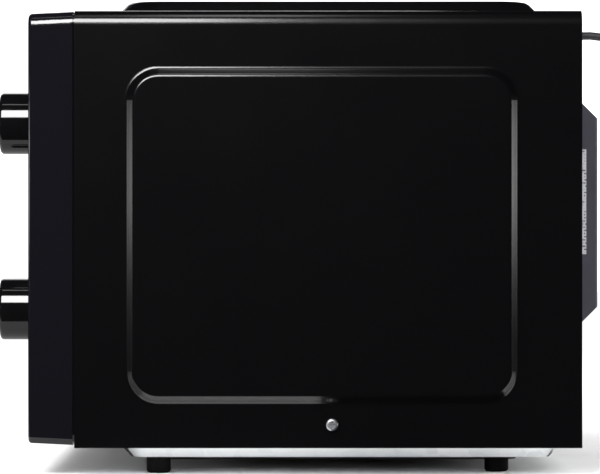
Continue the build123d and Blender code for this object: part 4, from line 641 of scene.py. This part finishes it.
# pressed soda-lime tray glass: faintly green, fire-polished, with slight ripples 14 mm apart
def trayGlass():
    material, tree, place = startFinish("trayGlass")
    ripple = addNode(tree, "ShaderNodeTexNoise", sockets={"Vector": place, "Scale": 1 / (14 * mm)})
    bump = addNode(tree, "ShaderNodeBump", sockets={"Height": (ripple, "Fac"), "Strength": 0.15,
                                                    "Distance": 0.2 * mm})
    rough = addNode(tree, "ShaderNodeMapRange", sockets={"Value": (ripple, "Fac"), "To Min": 0.01,
                                                         "To Max": 0.05})
    return endFinish(material, {"Base Color": linear("#e9f3ef"), "Roughness": (rough, "Result"), "IOR": 1.51,
                                "Transmission Weight": 1.0, "Normal": (bump, "Normal")})


# extruded PVC jacket: black-grey, soft sheen, faint lengthwise drag and fingerprints
def extrudedPvc():
    material, tree, place = startFinish("extrudedPvc")
    drag = addNode(tree, "ShaderNodeTexNoise", sockets={"Vector": place, "Scale": 1 / (2.2 * mm),
                                                        "Detail": 4.0})
    colour = addNode(tree, "ShaderNodeMix", {"data_type": "RGBA"},
                     {0: (drag, "Fac"), 6: linear("#1a1a1d"), 7: linear("#2a2a2e")})
    rough = addNode(tree, "ShaderNodeMapRange", sockets={"Value": (drag, "Fac"), "To Min": 0.38,
                                                         "To Max": 0.52})
    bump = addNode(tree, "ShaderNodeBump", sockets={"Height": (drag, "Fac"), "Strength": 0.15,
                                                    "Distance": 0.05 * mm})
    return endFinish(material, {"Base Color": (colour, 2), "Roughness": (rough, "Result"),
                                "Normal": (bump, "Normal"), "IOR": 1.53})


# moulded plug: PVC body, nickel-plated brass blades beyond its face
def plugPvcAndBlades():
    material, tree, place = startFinish("plugPvcAndBlades")
    bladeLength = 19.4 * mm
    faceX = cornersOf("plug")[1][0] - bladeLength
    axes = addNode(tree, "ShaderNodeSeparateXYZ", sockets={"Vector": place})
    isBlade = addNode(tree, "ShaderNodeMath", {"operation": "GREATER_THAN"}, {0: (axes, "X"), 1: faceX})
    grain = addNode(tree, "ShaderNodeTexNoise", sockets={"Vector": place, "Scale": 1 / (1.2 * mm)})
    jacket = addNode(tree, "ShaderNodeMix", {"data_type": "RGBA"},
                     {0: (grain, "Fac"), 6: linear("#1f1f22"), 7: linear("#2f2f33")})
    colour = addNode(tree, "ShaderNodeMix", {"data_type": "RGBA"},
                     {0: (isBlade, "Value"), 6: (jacket, 2), 7: linear("#cfc8b6")})
    rough = addNode(tree, "ShaderNodeMapRange", sockets={"Value": (isBlade, "Value"), "To Min": 0.46,
                                                         "To Max": 0.24})
    return endFinish(material, {"Base Color": (colour, 2), "Roughness": (rough, "Result"),
                                "Metallic": (isBlade, "Value")})


# white pad-printing ink, slightly raised and matt
def padPrintInk():
    material, tree, place = startFinish("padPrintInk")
    thin = addNode(tree, "ShaderNodeTexNoise", sockets={"Vector": place, "Scale": 1 / (0.6 * mm)})
    colour = addNode(tree, "ShaderNodeMix", {"data_type": "RGBA"},
                     {0: (thin, "Fac"), 6: linear("#c9cacc"), 7: linear("#e2e3e4")})
    return endFinish(material, {"Base Color": (colour, 2), "Roughness": 0.5, "IOR": 1.48})


halfCores = {"transformer": 24.5 * mm, "fan_motor": 8.0 * mm}
finishes = [
    (powderCoatedSteel(), ["cabinet"]),
    (polishedAbs(), ["door_frame", "control_panel"]),
    (knobAbs(), ["power_knob", "timer_knob", "door_button"]),
    (galvanisedSheet(), ["back_plate", "base_plate", "upper_hinge", "lower_hinge", "waveguide",
                         "heater_housing", "lamp_socket", "turntable_motor"]),
    (erodedPolypropylene(), ["rear_cover"]),
    (grainedPolypropylene(), ["choke_cover", "air_duct", "fan_blade", "cord_gland"]),
    (printedLabelFilm(), ["rating_label"]),
    (mouldedRubber(), ["feet"]),
    (zincPlatedSteel(), ["cabinet_screws", "cover_screws", "power_shaft", "timer_shaft"]),
    (bakedEnamel(), ["front_plate", "cavity"]),
    (mouldedNylon(), ["latch_board", "release_lever", "latch_hook", "coupler", "roller_1", "roller_2",
                      "roller_3", "roller_ring"]),
    (filledPolyester(), ["power_selector", "timer", "microswitches", "thermal_cutout"]),
    (drawnWire(), ["latch_spring", "lever_spring"]),
    (printedDoorGlass(), ["door_glass"]),
    (enamelledSteel(), ["door_choke"]),
    (clearFilm(), ["inner_window"]),
    (pressedMica(), ["waveguide_cover"]),
    (bareAluminium(), ["magnetron", "capacitor"]),
    (varnishedCore("transformer", "transformer", halfCores["transformer"]), ["transformer"]),
    (varnishedCore("fan", "fan_motor", halfCores["fan_motor"]), ["fan_motor"]),
    (phenolicBoard(), ["filter_board"]),
    (temperedSheath(), ["grill_heater"]),
    (lampGlass(), ["cavity_lamp"]),
    (plugPvcAndBlades(), ["plug"]),
]
for material, names in finishes:
    for name in names:
        nodes[name].data.materials.clear()
        nodes[name].data.materials.append(material)
lead.data.materials.append(extrudedPvc())
enamel = bpy.data.materials["enamelledSteel"]
ink = padPrintInk()
print("stage: finishes on", sum(len(names) for _, names in finishes), "parts")

# perforated screen behind the door glass

screenSettings = {"pitch": 3.0 * mm, "holeShare": 0.70, "margin": 4.5 * mm}


# grid of square cells between two sheets: each cell's four corners join an eight-cornered hole, whose points
# lie at its centre plus the hole radius times (cos, sin) of 22.5 degrees plus multiples of 45
def makeScreen(s):
    low, high = cornersOf("door_screen")
    across, up = high[0] - low[0], high[2] - low[2]
    cols = int((across - 2 * s["margin"]) / s["pitch"])
    rows = int((up - 2 * s["margin"]) / s["pitch"])
    innerX = np.linspace(low[0] + s["margin"], high[0] - s["margin"], cols + 1)
    innerZ = np.linspace(low[2] + s["margin"], high[2] - s["margin"], rows + 1)
    xs = np.concatenate([[low[0]], innerX, [high[0]]])
    zs = np.concatenate([[low[2]], innerZ, [high[2]]])
    gridX, gridZ = np.meshgrid(xs, zs, indexing="ij")
    corners = np.stack([gridX.ravel(), gridZ.ravel()], axis=1)
    cornerId = np.arange(corners.shape[0]).reshape(gridX.shape)
    radius = (xs[2] - xs[1]) * s["holeShare"] / 2
    angle = np.radians(22.5 + 45 * np.arange(8))
    midX, midZ = np.meshgrid((xs[1:-2] + xs[2:-1]) / 2, (zs[1:-2] + zs[2:-1]) / 2, indexing="ij")
    holeX = midX[..., None] + radius * np.cos(angle)
    holeZ = midZ[..., None] + radius * np.sin(angle)
    holes = np.stack([holeX, holeZ], axis=-1)
    holeId = corners.shape[0] + np.arange(cols * rows * 8).reshape(cols, rows, 8)
    flat = np.concatenate([corners, holes.reshape(-1, 2)])
    count = flat.shape[0]
    c00, c10 = cornerId[1:-2, 1:-2], cornerId[2:-1, 1:-2]
    c11, c01 = cornerId[2:-1, 2:-1], cornerId[1:-2, 2:-1]
    h = [holeId[:, :, k] for k in range(8)]
    wedges = [(c11, h[0], h[7]), (c11, h[1], h[0]), (c01, h[2], h[1]), (c01, h[3], h[2]),
              (c00, h[4], h[3]), (c00, h[5], h[4]), (c10, h[6], h[5]), (c10, h[7], h[6])]
    sides = [(c10, c11, h[7]), (c11, c01, h[1]), (c01, c00, h[3]), (c00, c10, h[5])]
    tris = np.concatenate([np.stack(t, axis=-1).reshape(-1, 3) for t in wedges + sides])
    border = np.ones((len(xs) - 1, len(zs) - 1), dtype=bool)
    border[1:-1, 1:-1] = False
    quads = np.stack([cornerId[:-1, :-1][border], cornerId[1:, :-1][border], cornerId[1:, 1:][border],
                      cornerId[:-1, 1:][border]], axis=-1)
    nextHole = np.roll(holeId, -1, axis=2)
    walls = np.stack([holeId, nextHole, nextHole + count, holeId + count], axis=-1).reshape(-1, 4)
    ring = np.concatenate([cornerId[:, 0], cornerId[-1, 1:], cornerId[-2::-1, -1], cornerId[0, -2:0:-1]])
    nextRing = np.roll(ring, -1)
    rim = np.stack([nextRing, ring, ring + count, nextRing + count], axis=-1)
    front = np.insert(flat, 1, low[1], axis=1)
    back = np.insert(flat, 1, high[1], axis=1)
    triFaces = np.concatenate([tris, tris[:, ::-1] + count])
    quadFaces = np.concatenate([quads, quads[:, ::-1] + count, walls, rim])
    mesh = bpy.data.meshes.new("perforatedScreen")
    mesh.from_pydata(np.concatenate([front, back]).tolist(), [], triFaces.tolist() + quadFaces.tolist())
    mesh.validate()
    screen = bpy.data.objects.new("perforatedScreen", mesh)
    bpy.context.scene.collection.objects.link(screen)
    mesh.materials.append(enamel)
    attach(screen, "door")
    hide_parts("door_screen")
    return len(triFaces) + 2 * len(quadFaces)


print("stage: door screen,", makeScreen(screenSettings), "triangles")

# pressed-glass tray

traySettings = {
    "segments": 144,
    "thickness": 4.0 * mm,
    "hubRadius": 0.4 * mm,
    "ringRadii": (0.030, 0.052, 0.074, 0.096),
    "ringHeight": 0.5 * mm,
    "ringWidth": 2.2 * mm,
    "flatMargin": 15.5 * mm,
    "slopeRun": 12.3 * mm,
    "slopeDip": 0.3 * mm,
    "rimRise": 11.0 * mm,
    "rimMargin": 1.65 * mm,
    "rimHalfWidth": 1.6 * mm,
    "rimHalfHeight": 1.0 * mm,
    "underRun": 14.0 * mm,
    "underDip": 1.2 * mm,
    "underMargin": 14.5 * mm,
    "steps": {"floor": 90, "slope": 14, "rim": 9, "under": 40},
    "lugs": 3,
    "lugSides": 24,
    "lugReach": 14.0 * mm,
    "lugRadius": 2.6 * mm,
    "lugDrop": 4.2 * mm,
}


# smooth hump: half of one plus the cosine of pi times the distance over the half width, nothing outside it
def hump(r, middle, width):
    d = np.clip(np.abs(r - middle) / width, 0, 1)
    return (1 + np.cos(np.pi * d)) / 2


# closed profile turned about the tray's axis: upper face outwards, rolled rim, underside back inwards
def makeTray(s):
    low, high = cornersOf("glass_tray")
    centre = ((low[0] + high[0]) / 2, (low[1] + high[1]) / 2)
    foot = low[2] + s["lugDrop"]
    outer = (high[0] - low[0]) / 2
    steps = s["steps"]
    r = np.linspace(s["hubRadius"], outer - s["flatMargin"], steps["floor"])
    top = foot + s["thickness"] + s["ringHeight"] * sum(hump(r, c, s["ringWidth"]) for c in s["ringRadii"])
    t = np.linspace(0.02, 1, steps["slope"])
    slopeR = outer - s["flatMargin"] + t * s["slopeRun"]
    rise = (s["rimRise"] - s["thickness"]) * (0.25 * t + 0.75 * t ** 2)
    slopeZ = foot + s["thickness"] + rise - s["slopeDip"] * t
    a = np.linspace(np.pi, 0, steps["rim"])[1:-1]
    rimR = outer - s["rimMargin"] + s["rimHalfWidth"] * np.cos(a)
    rimZ = foot + s["rimRise"] - s["rimHalfHeight"] + s["rimHalfHeight"] * np.sin(a)
    underR = outer - s["underRun"] * t ** 0.8
    underZ = foot + (s["rimRise"] - s["underDip"]) * (1 - t) ** 1.35
    inward = np.linspace(outer - s["underMargin"], s["hubRadius"], steps["under"])
    profileR = np.concatenate([r, slopeR, rimR, underR, inward])
    profileZ = np.concatenate([top, slopeZ, rimZ, underZ, np.full(steps["under"], foot)])
    angle = np.linspace(0, 2 * np.pi, s["segments"], endpoint=False)
    x = centre[0] + profileR[None, :] * np.cos(angle)[:, None]
    y = centre[1] + profileR[None, :] * np.sin(angle)[:, None]
    z = np.broadcast_to(profileZ, x.shape)
    points = np.stack([x, y, z], axis=-1).reshape(-1, 3)
    n, m = x.shape
    index = np.arange(n * m).reshape(n, m)
    after = np.roll(index, -1, axis=0)
    quads = np.stack([index[:, :-1], index[:, 1:], after[:, 1:], after[:, :-1]], axis=-1).reshape(-1, 4)
    caps = [index[:, 0].tolist(), index[::-1, -1].tolist()]
    lugPoints, lugFaces = [], []
    sides = s["lugSides"]
    around = np.linspace(0, 2 * np.pi, sides, endpoint=False)
    for k in range(s["lugs"]):
        turn = 2 * math.pi * k / s["lugs"]
        lx = centre[0] + s["lugReach"] * math.cos(turn) + s["lugRadius"] * np.cos(around)
        ly = centre[1] + s["lugReach"] * math.sin(turn) + s["lugRadius"] * np.sin(around)
        lugPoints += [np.stack([lx, ly, np.full(sides, level)], axis=1) for level in (foot, low[2])]
        ids = n * m + 2 * sides * k + np.arange(sides)
        lugFaces += np.stack([ids, ids + sides, np.roll(ids, -1) + sides, np.roll(ids, -1)], axis=1).tolist()
        lugFaces += [ids.tolist(), (ids[::-1] + sides).tolist()]
    mesh = bpy.data.meshes.new("pressedTray")
    mesh.from_pydata(np.concatenate([points] + lugPoints).tolist(), [], quads.tolist() + caps + lugFaces)
    mesh.shade_smooth()
    tray = bpy.data.objects.new("pressedTray", mesh)
    bpy.context.scene.collection.objects.link(tray)
    mesh.materials.append(trayGlass())
    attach(tray, "turntable")
    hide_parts("glass_tray")


makeTray(traySettings)
print("stage: glass tray")

# printed marks round the two dials

markSettings = {"tickStart": 21.6 * mm, "tickEnd": 24.6 * mm, "tickWidth": 0.55 * mm, "textRadius": 29.5 * mm,
                "textSize": 6.0 * mm, "proud": 0.06 * mm,
                "timer_knob": (0, 310, 7, ("0", "5", "10", "15", "20", "25", "30")),
                "power_knob": (0, 270, 7, ("1", "2", "3", "4", "5", "6", "7"))}


# corners of one figure as a flat mesh in its own plane, centred on its middle
def figureMesh(text, size):
    font = bpy.data.curves.new("figure", "FONT")
    font.body = text
    font.size = size
    font.align_x = "CENTER"
    font.align_y = "CENTER"
    holder = bpy.data.objects.new("figure", font)
    mesh = bpy.data.meshes.new_from_object(holder)
    bpy.data.objects.remove(holder)
    co = np.zeros(len(mesh.vertices) * 3)
    mesh.vertices.foreach_get("co", co)
    faces = [list(face.vertices) for face in mesh.polygons]
    bpy.data.meshes.remove(mesh)
    return co.reshape(-1, 3)[:, :2], faces


# ticks and figures stand on circles round each knob, clockwise from the top as the knob turns
def makeMarks(s):
    faceY = cornersOf("door_frame")[0][1]
    points, faces = [], []
    for knob in ("timer_knob", "power_knob"):
        low, high = cornersOf(knob)
        middle = np.array([(low[0] + high[0]) / 2, (low[2] + high[2]) / 2])
        start, end, count, texts = s[knob]
        for k in range(count):
            turn = math.radians(start + (end - start) * k / (count - 1))
            out = np.array([math.sin(turn), math.cos(turn)])
            across = np.array([out[1], -out[0]])
            half = across * s["tickWidth"] / 2
            inner, outer = middle + out * s["tickStart"], middle + out * s["tickEnd"]
            base = len(points)
            points += [inner - half, inner + half, outer + half, outer - half]
            faces.append([base, base + 1, base + 2, base + 3])
            shape, shapeFaces = figureMesh(texts[k], s["textSize"])
            base = len(points)
            points += list(shape + middle + out * s["textRadius"])
            faces += [[base + v for v in face] for face in shapeFaces]
    flat = np.array(points)
    co = np.insert(flat, 1, faceY - s["proud"], axis=1)
    mesh = bpy.data.meshes.new("dialMarks")
    mesh.from_pydata(co.tolist(), [], faces)
    marks = bpy.data.objects.new("dialMarks", mesh)
    bpy.context.scene.collection.objects.link(marks)
    solid = marks.modifiers.new("inkThickness", "SOLIDIFY")
    solid.thickness = s["proud"]
    solid.offset = -1
    mesh.materials.append(ink)
    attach(marks, "casing")


makeMarks(markSettings)
print("stage: dial marks")
